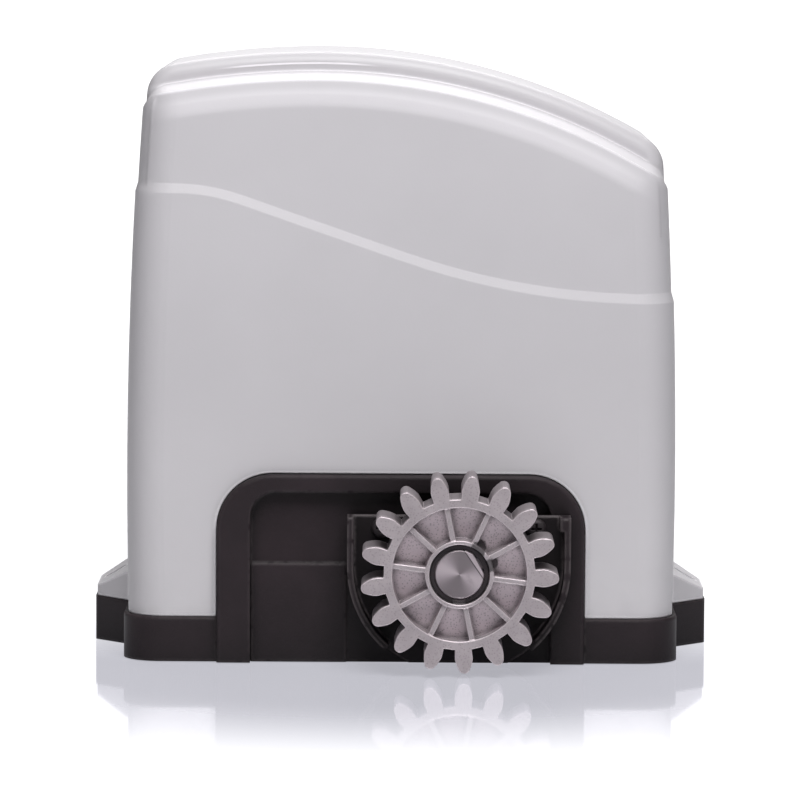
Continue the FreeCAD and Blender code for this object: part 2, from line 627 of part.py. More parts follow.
def make_pinion():
    blank = gear_outline(size.rack_module, size.pinion_teeth, 5, size.tip_round)
    teeth = own("pinion_blank", Part.Face(blank).extrude(Vector(0, 0, size.pinion_width)))
    at(teeth, "axis_x", PINION_BACK, AXIS_Z, turn=spin(size.tooth_phase))
    hub = ("axis_x", AXIS_Z)
    front = tube("pinion_front_sink", "Y", hub, (PINION_FRONT + " - 1", PINION_FRONT + " + web_sink"),
                 "rim_inner_r", "hub_r")
    back = tube("pinion_back_sink", "Y", hub, (PINION_BACK + " - back_sink", PINION_BACK + " + 1"),
                "rim_inner_r", "hub_r")
    plain = cut("pinion_plain", teeth, front, back,
                rod("pinion_bore", "Y", hub, (PINION_FRONT + " - 1", PINION_BACK + " + 1"),
                    "shaft_r + press_fit"))
    ribs = doc.addObject("PartDesign::Body", "pinion_ribs")
    profile = outline(ribs, "XY_Plane", "rib_profile", [
        ("hub_r - 0.6", "-rib_width / 2"), ("rim_inner_r + 0.6", "-rib_width / 2"),
        ("rim_inner_r + 0.6", "rib_width / 2"), ("hub_r - 0.6", "rib_width / 2")])
    pad = ribs.newObject("PartDesign::Pad", "rib_pad")
    pad.Profile = profile
    bind(pad, Length="pinion_width - back_sink - rib_sink")
    doc.recompute()
    wheel = ribs.newObject("PartDesign::PolarPattern", "rib_pattern")
    wheel.Originals = [pad]
    wheel.Axis = (profile, ["N_Axis"])
    wheel.Angle = 360
    bind(wheel, Occurrences="rib_count")
    ribs.Tip = wheel
    at(ribs, "axis_x", PINION_BACK + " - back_sink", AXIS_Z, turn=spin(size.rib_phase))
    lug = padded("pinion_lug", "XY_Plane", [
        ("shaft_r - shaft_flat + press_fit", "-lug_width / 2"), ("hub_r - 0.6", "-lug_width / 2"),
        ("hub_r - 0.6", "lug_width / 2"), ("shaft_r - shaft_flat + press_fit", "lug_width / 2")],
        "pinion_width - hub_sink")
    at(lug, "axis_x", PINION_BACK, AXIS_Z, turn=spin(size.rib_phase))
    sink = rod("pinion_hub_sink", "Y", hub, (PINION_FRONT + " - 1", PINION_FRONT + " + hub_sink"),
               "hub_sink_r")
    full = fuse("pinion_full", plain, ribs, lug)
    node("drive_pinion", cut("drive_pinion", full, sink))

    shaft = turned("shaft_turn", "Y", [
        (PINION_FRONT + " + shaft_end_sink", "0"),
        (PINION_FRONT + " + shaft_end_sink", "shaft_r - 1"),
        (PINION_FRONT + " + shaft_end_sink + 1", "shaft_r"),
        ("wheel_y + wheel_hub_back", "shaft_r"), ("wheel_y + wheel_hub_back", "shaft_r + 3"),
        ("wheel_y + wheel_hub_back + 4", "shaft_r + 3"), ("wheel_y + wheel_hub_back + 4", "shaft_r + 2"),
        ("rear_race_y", "shaft_r + 2"), ("rear_race_y", "shaft_r"),
        ("rear_race_y + big_race_width", "shaft_r"), ("rear_race_y + big_race_width", "0")],
        "axis_x", "0", AXIS_Z)
    flat = padded("shaft_flat_cut", "XY_Plane", [
        ("shaft_r - shaft_flat", "-20"), ("shaft_r + 10", "-20"), ("shaft_r + 10", "20"),
        ("shaft_r - shaft_flat", "20")], "pinion_width + 2")
    at(flat, "axis_x", PINION_BACK, AXIS_Z, turn=spin(size.rib_phase))
    front_ring = (PINION_FRONT + " + hub_sink - ring_thick", PINION_FRONT + " + hub_sink")
    rear_ring = (PINION_BACK, PINION_BACK + " + ring_thick")
    grooves = [tube("ring_groove_%d" % k, "Y", hub, (a + " - 0.05", b + " + 0.05"), "shaft_r + 5",
                    "shaft_r - ring_groove") for k, (a, b) in enumerate((front_ring, rear_ring))]
    bore = rod("shaft_bore", "Y", hub,
               ("wheel_y - wheel_hub_front - sleeve_length - clutch_throw - 0.5", "60"),
               "rod_r + run_fit")
    slot_y = "(wheel_y - wheel_hub_front - dog_height / 2 - sleeve_length / 2)"
    slot = box("shaft_slot", ("axis_x - shaft_r - 5", "axis_x + shaft_r + 5"),
               (slot_y + " - clutch_throw - pin_r - 0.5", slot_y + " + pin_r + 0.3"),
               (AXIS_Z + " - pin_r - run_fit", AXIS_Z + " + pin_r + run_fit"))
    node("output_shaft", cut("output_shaft", shaft, flat, bore, slot, *grooves))
    rings = []
    for k, span in enumerate((front_ring, rear_ring)):
        ring = tube("ring_%d" % k, "Y", hub, span, "hub_sink_r - 0.4", "shaft_r - ring_groove + press_fit")
        gap = box("ring_gap_%d" % k, ("axis_x - 2.5", "axis_x + 2.5"), (span[0] + " - 1", span[1] + " + 1"),
                  (AXIS_Z + " - 20", AXIS_Z))
        rings.append(cut("ring_open_%d" % k, ring, gap))
    node("pinion_retaining_rings", group("pinion_retaining_rings", *rings))
    return slot_y


PIN_Y = make_pinion()


# Guard round the pinion

def make_guard():
    left = "axis_x - guard_half"
    right = "axis_x + guard_half"
    back = FRAME_FRONT
    front = FRAME_FRONT + " - guard_reach"
    plate = FRAME_FRONT + " - guard_plate"
    hub = ("axis_x", AXIS_Z)
    outer = fuse("guard_outer", box("guard_upper", (left, right), (front, back), (AXIS_Z, "guard_top")),
                 rod("guard_round", "Y", hub, (front, back), "guard_half"))
    inner = fuse("guard_inner",
                 box("guard_in_upper", (left + " + guard_wall", right + " - guard_wall"),
                     (front + " - 1", plate), (AXIS_Z, "guard_top + 20")),
                 rod("guard_in_round", "Y", hub, (front + " - 1", plate), "guard_half - guard_wall"))
    wedge = padded("guard_wedge", "XY_Plane", [
        ("0", "0"), ("-80 * sin(guard_open * 1 deg)", "-80 * cos(guard_open * 1 deg)"),
        ("80 * sin(guard_open * 1 deg)", "-80 * cos(guard_open * 1 deg)")],
        "guard_reach - guard_plate + 1")
    at(wedge, "axis_x", plate, AXIS_Z, turn=FACING)
    under = box("guard_under", ("-200", "200"), ("-200", "0"), ("-60", "guard_lift"))
    over = box("guard_over", ("-200", "200"), ("-200", "0"), ("guard_top", "200"))
    cup = cut("guard_cup", outer, inner, wedge, under, over)
    block = box("guard_block", (right + " - guard_block", right), (front, back),
                ("guard_top - guard_block - 1", "guard_top"))
    bosses = []
    holes = [rod("guard_shaft_hole", "Y", hub, (front + " - 1", back + " + 1"), "shaft_r + 5")]
    for k, sx in enumerate(("-1", "1")):
        spot = ("axis_x + %s * guard_screw_x" % sx, AXIS_Z + " + guard_screw_z")
        bosses.append(rod("guard_boss_%d" % k, "Y", spot, (back + " - 0.5", PANEL_FRONT), "guard_boss_r"))
        holes.append(rod("guard_screw_hole_%d" % k, "Y", spot, (front, PANEL_FRONT + " + 1"),
                         "screw_r + 0.2"))
    node("gear_guard", cut("gear_guard", fuse("guard_full", cup, block, *bosses), *holes))
    screws = []
    for k, sx in enumerate(("-1", "1")):
        screws.append(screw("guard_screw_%d" % k, "Y", "axis_x + %s * guard_screw_x" % sx, plate,
                            AXIS_Z + " + guard_screw_z", "guard_plate + recess_depth + 4"))
    node("guard_screws", group("guard_screws", *screws))


def screw(name, axis, x, y, z, length, shank="screw_r", head="screw_head_r", tall="screw_head", flip=False):
    """A pan-head screw whose head sits on the given point and whose shank runs along the axis."""
    sign = "-1 * " if flip else ""
    return turned(name, axis, [
        (sign + "(-1 * %s)" % tall, "0"), (sign + "(-1 * %s)" % tall, head + " * 0.8"),
        (sign + "(-0.5 * %s)" % tall, head), ("0", head), ("0", shank),
        (sign + "(%s)" % length, shank), (sign + "(%s)" % length, "0")], x, y, z)


make_guard()
screws = [screw("cover_screw_" + side, "Z", sign + " * cover_screw_x", "0", "screw_well_z", "12", flip=True)
          for side, sign in (("left", "-1"), ("right", "1"))]
node("cover_screws", group("cover_screws", *screws))


# Bearings and seal

def bearing(name, axis, across, start, inner, outer, width):
    """Sealed ball bearing: two rings with a running gap between them."""
    split = "((%s) + (%s)) / 2" % (inner, outer)
    span = (start, "%s + (%s)" % (start, width))
    node(name + "_outer", tube(name + "_outer", axis, across, span, outer, split + " + race_gap / 2"))
    node(name + "_inner", tube(name + "_inner", axis, across, span, split + " - race_gap / 2",
                               "%s + press_fit" % inner))


HUB = ("axis_x", AXIS_Z)
WORM = ("wheel_y", WORM_Z)
bearing("front_bearing", "Y", HUB, "front_race_y", "shaft_r", "big_race_r", "big_race_width")
bearing("rear_bearing", "Y", HUB, "rear_race_y", "shaft_r", "big_race_r", "big_race_width")
bearing("worm_bearing", "X", WORM, "(motor_face + 4)", "worm_race_in", "worm_race_out", "worm_race_width")
bearing("end_bearing", "X", WORM, "(tunnel_right - tail_race_width)", "tail_race_in", "tail_race_out",
        "tail_race_width")
bearing("tail_bearing", "X", WORM, "(motor_tail + shield_wall)", "tail_race_in", "tail_race_out",
        "tail_race_width")
node("shaft_seal", tube("shaft_seal", "Y", HUB, ("front_race_y - 1 - seal_width", "front_race_y - 1"),
                        "seal_r", "shaft_r + run_fit"))


# Worm, worm wheel, clutch and its spring

def helical(section, pitch, turns, per_turn):
    """A section of (radius, offset) corners on a right-hand helix about X, lowest in its middle."""
    rings = []
    for k in range(int(per_turn * turns) + 1):
        turn = k / per_turn - turns / 2
        angle = 2 * math.pi * turn
        run = pitch * turn
        out = Vector(0, math.sin(angle), -math.cos(angle))
        rings.append([out * radius + Vector(run + offset, 0, 0) for radius, offset in section])
    faces = [Part.Face(Part.makePolygon(ring + ring[:1])) for ring in (rings[0], rings[-1])]
    count = len(section)
    for before, after in zip(rings, rings[1:]):
        for k in range(count):
            a, b = before[k], before[(k + 1) % count]
            c, d = after[(k + 1) % count], after[k]
            faces.append(Part.Face(Part.makePolygon([a, b, c, a])))
            faces.append(Part.Face(Part.makePolygon([a, c, d, a])))
    solid = Part.makeSolid(Part.makeShell(faces))
    if solid.Volume < 0:
        solid.reverse()
    return solid


def worm_thread():
    """One right-hand thread as flat strips, sixteen to the turn."""
    pitch = math.pi * size.wheel_module
    tip = size.worm_pitch_r + size.wheel_module
    root = size.worm_pitch_r - 1.25 * size.wheel_module - 0.4
    slope = math.tan(math.radians(size.pressure_angle))
    section = []
    for radius, side in ((root, -1), (tip, -1), (tip, 1), (root, 1)):
        half = pitch / 4 - size.worm_play - (radius - size.worm_pitch_r) * slope
        section.append((radius, side * half))
    return helical(section, pitch, size.worm_turns, 16)


def wheel_teeth():
    """The wheel's toothed rim, with the teeth leaning by the worm's lead angle."""
    flat = gear_outline(size.wheel_module, size.wheel_teeth, 3)
    lean = size.wheel_width * size.wheel_module / (2 * size.worm_pitch_r)
    twist = math.degrees(lean / (size.wheel_module * size.wheel_teeth / 2))
    ends = []
    for side in (-0.5, 0.5):
        wire = flat.copy()
        wire.Placement = Placement(Vector(0, 0, side * size.wheel_width),
                                   Rotation(Vector(0, 0, 1), side * twist))
        ends.append(wire)
    return Part.makeLoft(ends, True, True)


def ring_sector(name, across, span, outer, inner, turn_by):
    """One clutch dog: part of a ring."""
    item = doc.addObject("Part::Cylinder", name)
    bind(item, Radius=outer, Height="(%s) - (%s)" % (span[1], span[0]), Angle="dog_angle")
    at(item, across[0], span[0], across[1],
       turn=TURNS["Y"].multiply(Rotation(Vector(0, 0, 1), turn_by)))
    return cut(name + "_cut", item,
               rod(name + "_in", "Y", across, (span[0] + " - 1", span[1] + " + 1"), inner))


def make_drive():
    worm_root = "(worm_pitch_r - 1.25 * wheel_module)"
    core = turned("worm_core", "X", [
        ("motor_tail + shield_wall", "0"), ("motor_tail + shield_wall", "tail_race_in"),
        ("motor_tail + shield_wall + tail_race_width", "tail_race_in"),
        ("motor_tail + shield_wall + tail_race_width", "rotor_shaft_r"),
        ("motor_face + 4", "rotor_shaft_r"), ("motor_face + 4", "worm_race_in"),
        ("motor_face + 4 + worm_race_width", "worm_race_in"),
        ("motor_face + 4 + worm_race_width", worm_root),
        ("tunnel_right - tail_race_width", worm_root),
        ("tunnel_right - tail_race_width", "tail_race_in"),
        ("tunnel_right", "tail_race_in"), ("tunnel_right", "0")], "0", "wheel_y", WORM_Z)
    thread = own("worm_thread", worm_thread())
    at(thread, "axis_x", "wheel_y", WORM_Z, turn=Rotation())
    node("worm_shaft", fuse("worm_shaft", core, thread))
    teeth = own("wheel_teeth", wheel_teeth())
    at(teeth, "axis_x", "wheel_y", AXIS_Z, turn=FACING)
    front = "wheel_y - wheel_hub_front"
    hub = rod("wheel_hub", "Y", HUB, (front, "wheel_y + wheel_hub_back"), "wheel_hub_r")
    dogs = []
    step = 360 / size.dog_count
    for k in range(int(size.dog_count)):
        dogs.append(ring_sector("wheel_dog_%d" % k, HUB, (front + " - dog_height", front + " + 0.5"),
                                "wheel_hub_r - 0.5", "shaft_r + bush_wall + 0.5", step * k))
    bore = rod("wheel_bore", "Y", HUB, (front + " - 10", "wheel_y + 30"), "shaft_r + bush_wall + press_fit")
    node("worm_wheel", cut("worm_wheel", fuse("wheel_full", teeth, hub, *dogs), bore))
    node("wheel_bush", tube("wheel_bush", "Y", HUB, (front, "wheel_y + wheel_hub_back"),
                            "shaft_r + bush_wall", "shaft_r + run_fit"))
    rear = front + " - dog_height - 0.5"
    sleeve = rod("sleeve_body", "Y", HUB, (rear + " - sleeve_length", rear), "sleeve_r")
    teeth_in = [ring_sector("sleeve_dog_%d" % k, HUB, (rear + " - 0.5", front + " - 0.3"),
                            "wheel_hub_r - 0.5",
                            "shaft_r + bush_wall + 0.5",
                            step * k + step / 2) for k in range(int(size.dog_count))]
    pin = ("axis_x - sleeve_r + 0.5", "axis_x + sleeve_r - 0.5")
    node("clutch_sleeve", cut("clutch_sleeve", fuse("sleeve_full", sleeve, *teeth_in),
                              rod("sleeve_bore", "Y", HUB, (rear + " - 30", "wheel_y"),
                                  "shaft_r + run_fit"),
                              rod("sleeve_pin_hole", "X", (PIN_Y, AXIS_Z), ("axis_x - 40", "axis_x + 40"),
                                  "pin_r + press_fit")))
    node("clutch_pin", rod("clutch_pin", "X", (PIN_Y, AXIS_Z), pin, "pin_r"))
    tip = "(lever_y - cam_low - cam_play)"
    push = turned("push_turn", "Y", [
        (PIN_Y + " - pin_r - 1.5", "0"), (PIN_Y + " - pin_r - 1.5", "rod_r"),
        (tip + " - rod_r + 0.3", "rod_r"),
        (tip, "0.3"), (tip, "0")], "axis_x", "0", AXIS_Z)
    node("push_rod", cut("push_rod", push, rod("push_pin_hole", "X", (PIN_Y, AXIS_Z),
                                               ("axis_x - 9", "axis_x + 9"), "pin_r + press_fit")))
    return rear + " - sleeve_length"


SLEEVE_FRONT = make_drive()

# Clutch spring between the front bearing and the sleeve

def make_spring():
    room = -size.front_race_y - size.big_race_width
    free = (size.wheel_y - size.wheel_hub_front - size.dog_height - 0.5 - size.sleeve_length) + room
    wire = size.spring_wire
    pitch = (free - 2 * wire) / size.spring_turns
    corners = [(size.spring_r + wire * math.cos(math.radians(60 * k)),
                wire * math.sin(math.radians(60 * k)))
               for k in range(6)]
    coil = own("clutch_spring", helical(corners, pitch, size.spring_turns, 16))
    at(coil, "axis_x", "((front_race_y + big_race_width) + (%s)) / 2" % SLEEVE_FRONT, AXIS_Z,
       turn=Rotation(Vector(0, 0, 1), 90))
    node("clutch_spring", coil)


make_spring()


# Gearbox casting with its rear cover and the worm's end cap

def corners_of(x_half, z_half):
    return [("axis_x + %s * %s" % (sx, x_half), "%s + %s * %s" % (AXIS_Z, sz, z_half))
            for sx in ("-1", "1") for sz in ("-1", "1")]


def make_gearbox():
    seal_front = "front_race_y - 1 - seal_width"
    worm_seat = "(motor_face + 4 + worm_race_width)"
    ears = [rod("drum_ear_%d" % k, "Y", spot, ("drum_back - 16", "drum_back"), "ear_r")
            for k, spot in enumerate(corners_of("ear_at", "ear_at"))]
    casting = fuse(
        "gearbox_solid",
        rod("drum", "Y", HUB, ("drum_front", "drum_back"), "drum_r"),
        rod("nose", "Y", HUB, (seal_front, "drum_front + 1"), "nose_r"),
        box("flange", ("axis_x - flange_half", "axis_x + flange_half"),
            (PANEL_BACK, PANEL_BACK + " + flange_thick"), ("flange_low", "flange_high")),
        rod("tunnel", "X", WORM, ("motor_face", "tunnel_right"), "tunnel_r"),
        rod("motor_flange", "X", WORM, ("motor_face", "motor_face + 4"), "motor_r"), *ears)
    hollows = [
        rod("drum_hollow", "Y", HUB, ("drum_front + 3", "drum_back + 1"), "drum_r - drum_wall"),
        rod("front_seat", "Y", HUB, ("front_race_y", "drum_front + 4"), "big_race_r + press_fit"),
        rod("seal_seat", "Y", HUB, (seal_front + " - 1", "front_race_y - 1"), "seal_r + press_fit"),
        rod("shaft_way", "Y", HUB, ("front_race_y - 2", "front_race_y + 1"), "shaft_r + 2"),
        rod("tunnel_hollow", "X", WORM, (worm_seat + " - 1", "tunnel_right - tail_race_width"),
            "tunnel_bore"),
        rod("worm_seat", "X", WORM, ("motor_face - 1", worm_seat), "worm_race_out + press_fit"),
        rod("end_seat", "X", WORM, ("tunnel_right - tail_race_width", "tunnel_right + 1"),
            "tail_race_out + press_fit")]
    hollows += [rod("flange_hole_%d" % k, "Y", spot, (PANEL_BACK + " - 1", "-40"), "bolt_r + 0.2")
                for k, spot in enumerate(corners_of("bolt_x", "bolt_z"))]
    hollows += [rod("drum_hole_%d" % k, "Y", spot, ("drum_back - 12", "drum_back + 1"),
                    "screw_r + press_fit")
                for k, spot in enumerate(corners_of("ear_at", "ear_at"))]
    hollows += [rod("tie_seat_%d" % k, "X", spot, ("motor_face - 1", "motor_face + 3"), "tie_r + press_fit")
                for k, spot in enumerate(tie_spots())]
    node("gearbox_body", cut("gearbox_body", casting, *hollows))
    bolts = [screw("gearbox_bolt_%d" % k, "Y", x, PANEL_BACK + " + flange_thick", z, "flange_thick + 3.8",
                   "bolt_r", "bolt_head_r", "bolt_head", flip=True)
             for k, (x, z) in enumerate(corners_of("bolt_x", "bolt_z"))]
    node("gearbox_bolts", group("gearbox_bolts", *bolts))
    disc = [rod("cover_disc", "Y", HUB, ("drum_back", "drum_back + gear_cover_disc"), "drum_r"),
            rod("cover_boss", "Y", HUB, ("drum_back", "gear_cover_end"), "nose_r")]
    disc += [rod("cover_ear_%d" % k, "Y", spot, ("drum_back", "drum_back + gear_cover_disc"), "ear_r")
             for k, spot in enumerate(corners_of("ear_at", "ear_at"))]
    holes = [rod("rear_seat", "Y", HUB, ("drum_back - 1", "rear_race_y + big_race_width"),
                 "big_race_r + press_fit"),
             rod("rear_way", "Y", HUB, ("drum_back", "60"), "shaft_r - 1")]
    holes += [rod("cover_ear_hole_%d" % k, "Y", spot, ("drum_back - 1", "60"), "screw_r + 0.2")
              for k, spot in enumerate(corners_of("ear_at", "ear_at"))]
    node("gearbox_cover", cut("gearbox_cover", fuse("gearbox_cover_solid", *disc), *holes))
    screws = [screw("gear_cover_screw_%d" % k, "Y", x, "drum_back + gear_cover_disc", z,
                    "gear_cover_disc + 11", flip=True) for k,
                    (x, z) in enumerate(corners_of("ear_at", "ear_at"))]
    node("gearbox_cover_screws", group("gearbox_cover_screws", *screws))
    node("worm_cap", rod("worm_cap", "X", WORM, ("tunnel_right", "tunnel_right + 4"), "tunnel_r"))


def tie_spots():
    return [("wheel_y + %s * tie_circle * 0.70711" % sy, "%s + %s * tie_circle * 0.70711" % (WORM_Z, sz))
            for sy in ("-1", "1") for sz in ("-1", "1")]


make_gearbox()


# Motor: shields, stack, windings, rotor and tie bolts

def make_motor():
    def holes(name):
        return [rod("%s_tie_%d" % (name, k), "X", spot, ("-120", "20"), "tie_r + 0.2")
                for k, spot in enumerate(tie_spots())]

    front = tube("front_cup", "X", WORM, ("stack_right", "motor_face"), "motor_r", "motor_r - shield_wall")
    wall = tube("front_wall", "X", WORM, ("motor_face - shield_wall", "motor_face"), "motor_r - 1",
                "rotor_shaft_r + 2")
    node("motor_front_shield",
         cut("motor_front_shield", fuse("front_shield_solid", front, wall), *holes("front")))
    tail = "motor_tail + shield_wall"
    rear = tube("rear_cup", "X", WORM, ("motor_tail", "stack_left"), "motor_r", "motor_r - shield_wall")
    plate = rod("rear_plate", "X", WORM, ("motor_tail", tail), "motor_r - 1")
    seat = tube("rear_seat_ring", "X", WORM, (tail + " - 1", tail + " + tail_race_width"),
                "tail_race_out + 3",
                "tail_race_out + press_fit")
    node("motor_rear_shield",
         cut("motor_rear_shield", fuse("rear_shield_solid", rear, plate, seat), *holes("rear")))
    stack = tube("stack_ring", "X", WORM, ("stack_left", "stack_right"), "motor_r", "stator_bore")
    node("stator_core", cut("stator_core", stack, *holes("stack")))
    coils = []
    for k, span in enumerate((("stack_left - winding_reach", "stack_left"),
                              ("stack_right", "stack_right + winding_reach"))):
        coil = tube("coil_%d" % k, "X", WORM, span, "winding_out", "winding_in")
        far = size.stack_left - size.winding_reach if k == 0 else size.stack_right + size.winding_reach
        coils.append(rounded("coil_round_%d" % k, coil, lambda edge: 3.0
                             if abs(edge.BoundBox.XMin - far) < 0.01 and edge.BoundBox.XLength < 0.01 else None))
    node("stator_windings", group("stator_windings", *coils))
    node("rotor_core",
         tube("rotor_core", "X", WORM, ("stack_left", "stack_right"), "stator_bore - rotor_gap",
                            "rotor_shaft_r + press_fit"))
    cage = [tube("cage_%d" % k, "X", WORM, span, "stator_bore - rotor_gap - 1", "rotor_shaft_r + 5")
            for k, span in enumerate((("stack_left - cage_length", "stack_left"),
                                      ("stack_right", "stack_right + cage_length")))]
    node("rotor_cage", group("rotor_cage", *cage))
    bolts = [screw("tie_bolt_%d" % k, "X", "motor_tail", y, z, "motor_face - motor_tail + 2.5", "tie_r",
                   "tie_head_r", "tie_head") for k, (y, z) in enumerate(tie_spots())]
    node("motor_tie_bolts", group("motor_tie_bolts", *bolts))


make_motor()


# Manual release: housing, cam lever on its pin, key cylinder

def lever_shape():
    """Lever and cam seen from above; the cam rises evenly with the angle."""
    high = size.cam_low + size.clutch_throw
    spiral = []
    for k in range(7):
        angle = math.radians(180 + 15 * k)
        radius = high - size.clutch_throw * k / 6
        spiral.append(Vector(radius * math.cos(angle), radius * math.sin(angle), 0))
    curve = Part.BSplineCurve()
    curve.interpolate(spiral)
    low = size.cam_low
    heel = Vector(low, 0, 0)
    bottom = math.radians(315)
    arc = Part.Arc(spiral[-1], Vector(low * math.cos(bottom), low * math.sin(bottom), 0), heel)
    ring = [heel, Vector(size.lever_length, 0, 0), Vector(size.lever_length, size.lever_thick, 0),
            Vector(-low, size.lever_thick, 0), spiral[0]]
    edges = [Part.makeLine(p, q) for p, q in zip(ring, ring[1:])] + [curve.toShape(), arc.toShape()]
    return Part.Face(Part.Wire(edges)).extrude(Vector(0, 0, 2 * size.lever_half))


def make_release():
    left = "axis_x - release_left"
    right = "axis_x + release_right"
    foot = box("release_foot", (left, right), ("release_y", "%s - rim_thick - 0.2" % RIM_Y),
               ("floor_thick", "plinth_height + 1"))
    head = box("release_head", (left, right), ("release_y", "release_back"),
               ("plinth_height", "release_top"))
    head = rounded("release_head_round", head, lambda edge: size.recess_round - size.arch_gap
                   if along(edge, "Y") and edge.BoundBox.ZMin > 40 else None)
    back = size.release_back - 0.01
    head = rounded("release_head_edge", head, lambda edge: 1.2 if edge.BoundBox.YMin > back
                   and edge.BoundBox.ZMax > size.plinth_height + 1 else None)
    middle = AXIS_Z
    pocket = box("lever_pocket", ("axis_x - pocket_left", "axis_x + pocket_right"),
                 ("pocket_floor", "release_back + 5"),
                 (middle + " - pocket_half", middle + " + pocket_half"))
    scoop = rod("lever_scoop", "Z", ("axis_x + pocket_right - 4", "release_back + 1"),
                (middle + " - pocket_half", middle + " + pocket_half"), "6")
    pin_span = (middle + " - pocket_half - 6", middle + " + pocket_half + 6")
    pivot = ("axis_x", "lever_y")
    node("release_housing", cut(
        "release_housing", fuse("release_solid", foot, head), pocket, scoop,
        rod("rod_way", "Y", HUB, ("release_y - 1", "pocket_floor + 1"), "rod_r + run_fit"),
        rod("pivot_hole", "Z", pivot, pin_span, "pivot_r + press_fit")))
    node("lever_pin",
         rod("lever_pin", "Z", pivot, (middle + " - pocket_half - 5.5", middle + " + pocket_half + 5.5"),
                          "pivot_r"))
    bar = own("lever_bar", lever_shape())
    at(bar, "axis_x", "lever_y", middle + " - lever_half", turn=Rotation())
    bar = rounded("lever_round", bar, lambda edge: size.lever_round if along(edge, "Z")
                  and edge.BoundBox.XMin > size.axis_x + size.lever_length - 0.1 else None)
    spot = ("axis_x + lock_x", middle)
    node("release_lever", cut(
        "release_lever", bar,
        rod("lever_hole", "Z", pivot, (middle + " - 20", middle + " + 20"), "pivot_r + run_fit"),
        rod("lock_way", "Y", spot, ("lever_y - 5", "release_back + 5"), "lock_r + run_fit")))
    face = "(lever_y + lever_thick + 0.4)"
    plug = turned("lock_turn", "Y", [
        ("lever_y + 0.2", "0"), ("lever_y + 0.2", "lock_r"), (face + " - 0.6", "lock_r"),
        (face, "lock_r - 0.6"), (face, "0")], "axis_x + lock_x", "0", middle)
    slot = box("key_slot", ("axis_x + lock_x - 0.7", "axis_x + lock_x + 0.7"),
               (face + " - 4", face + " + 1"),
               (middle + " - 3.2", middle + " + 3.2"))
    node("lock_cylinder", cut("lock_cylinder", plug, slot))


make_release()


# Control board on its carrier, capacitor, limit sensor and cable grommet

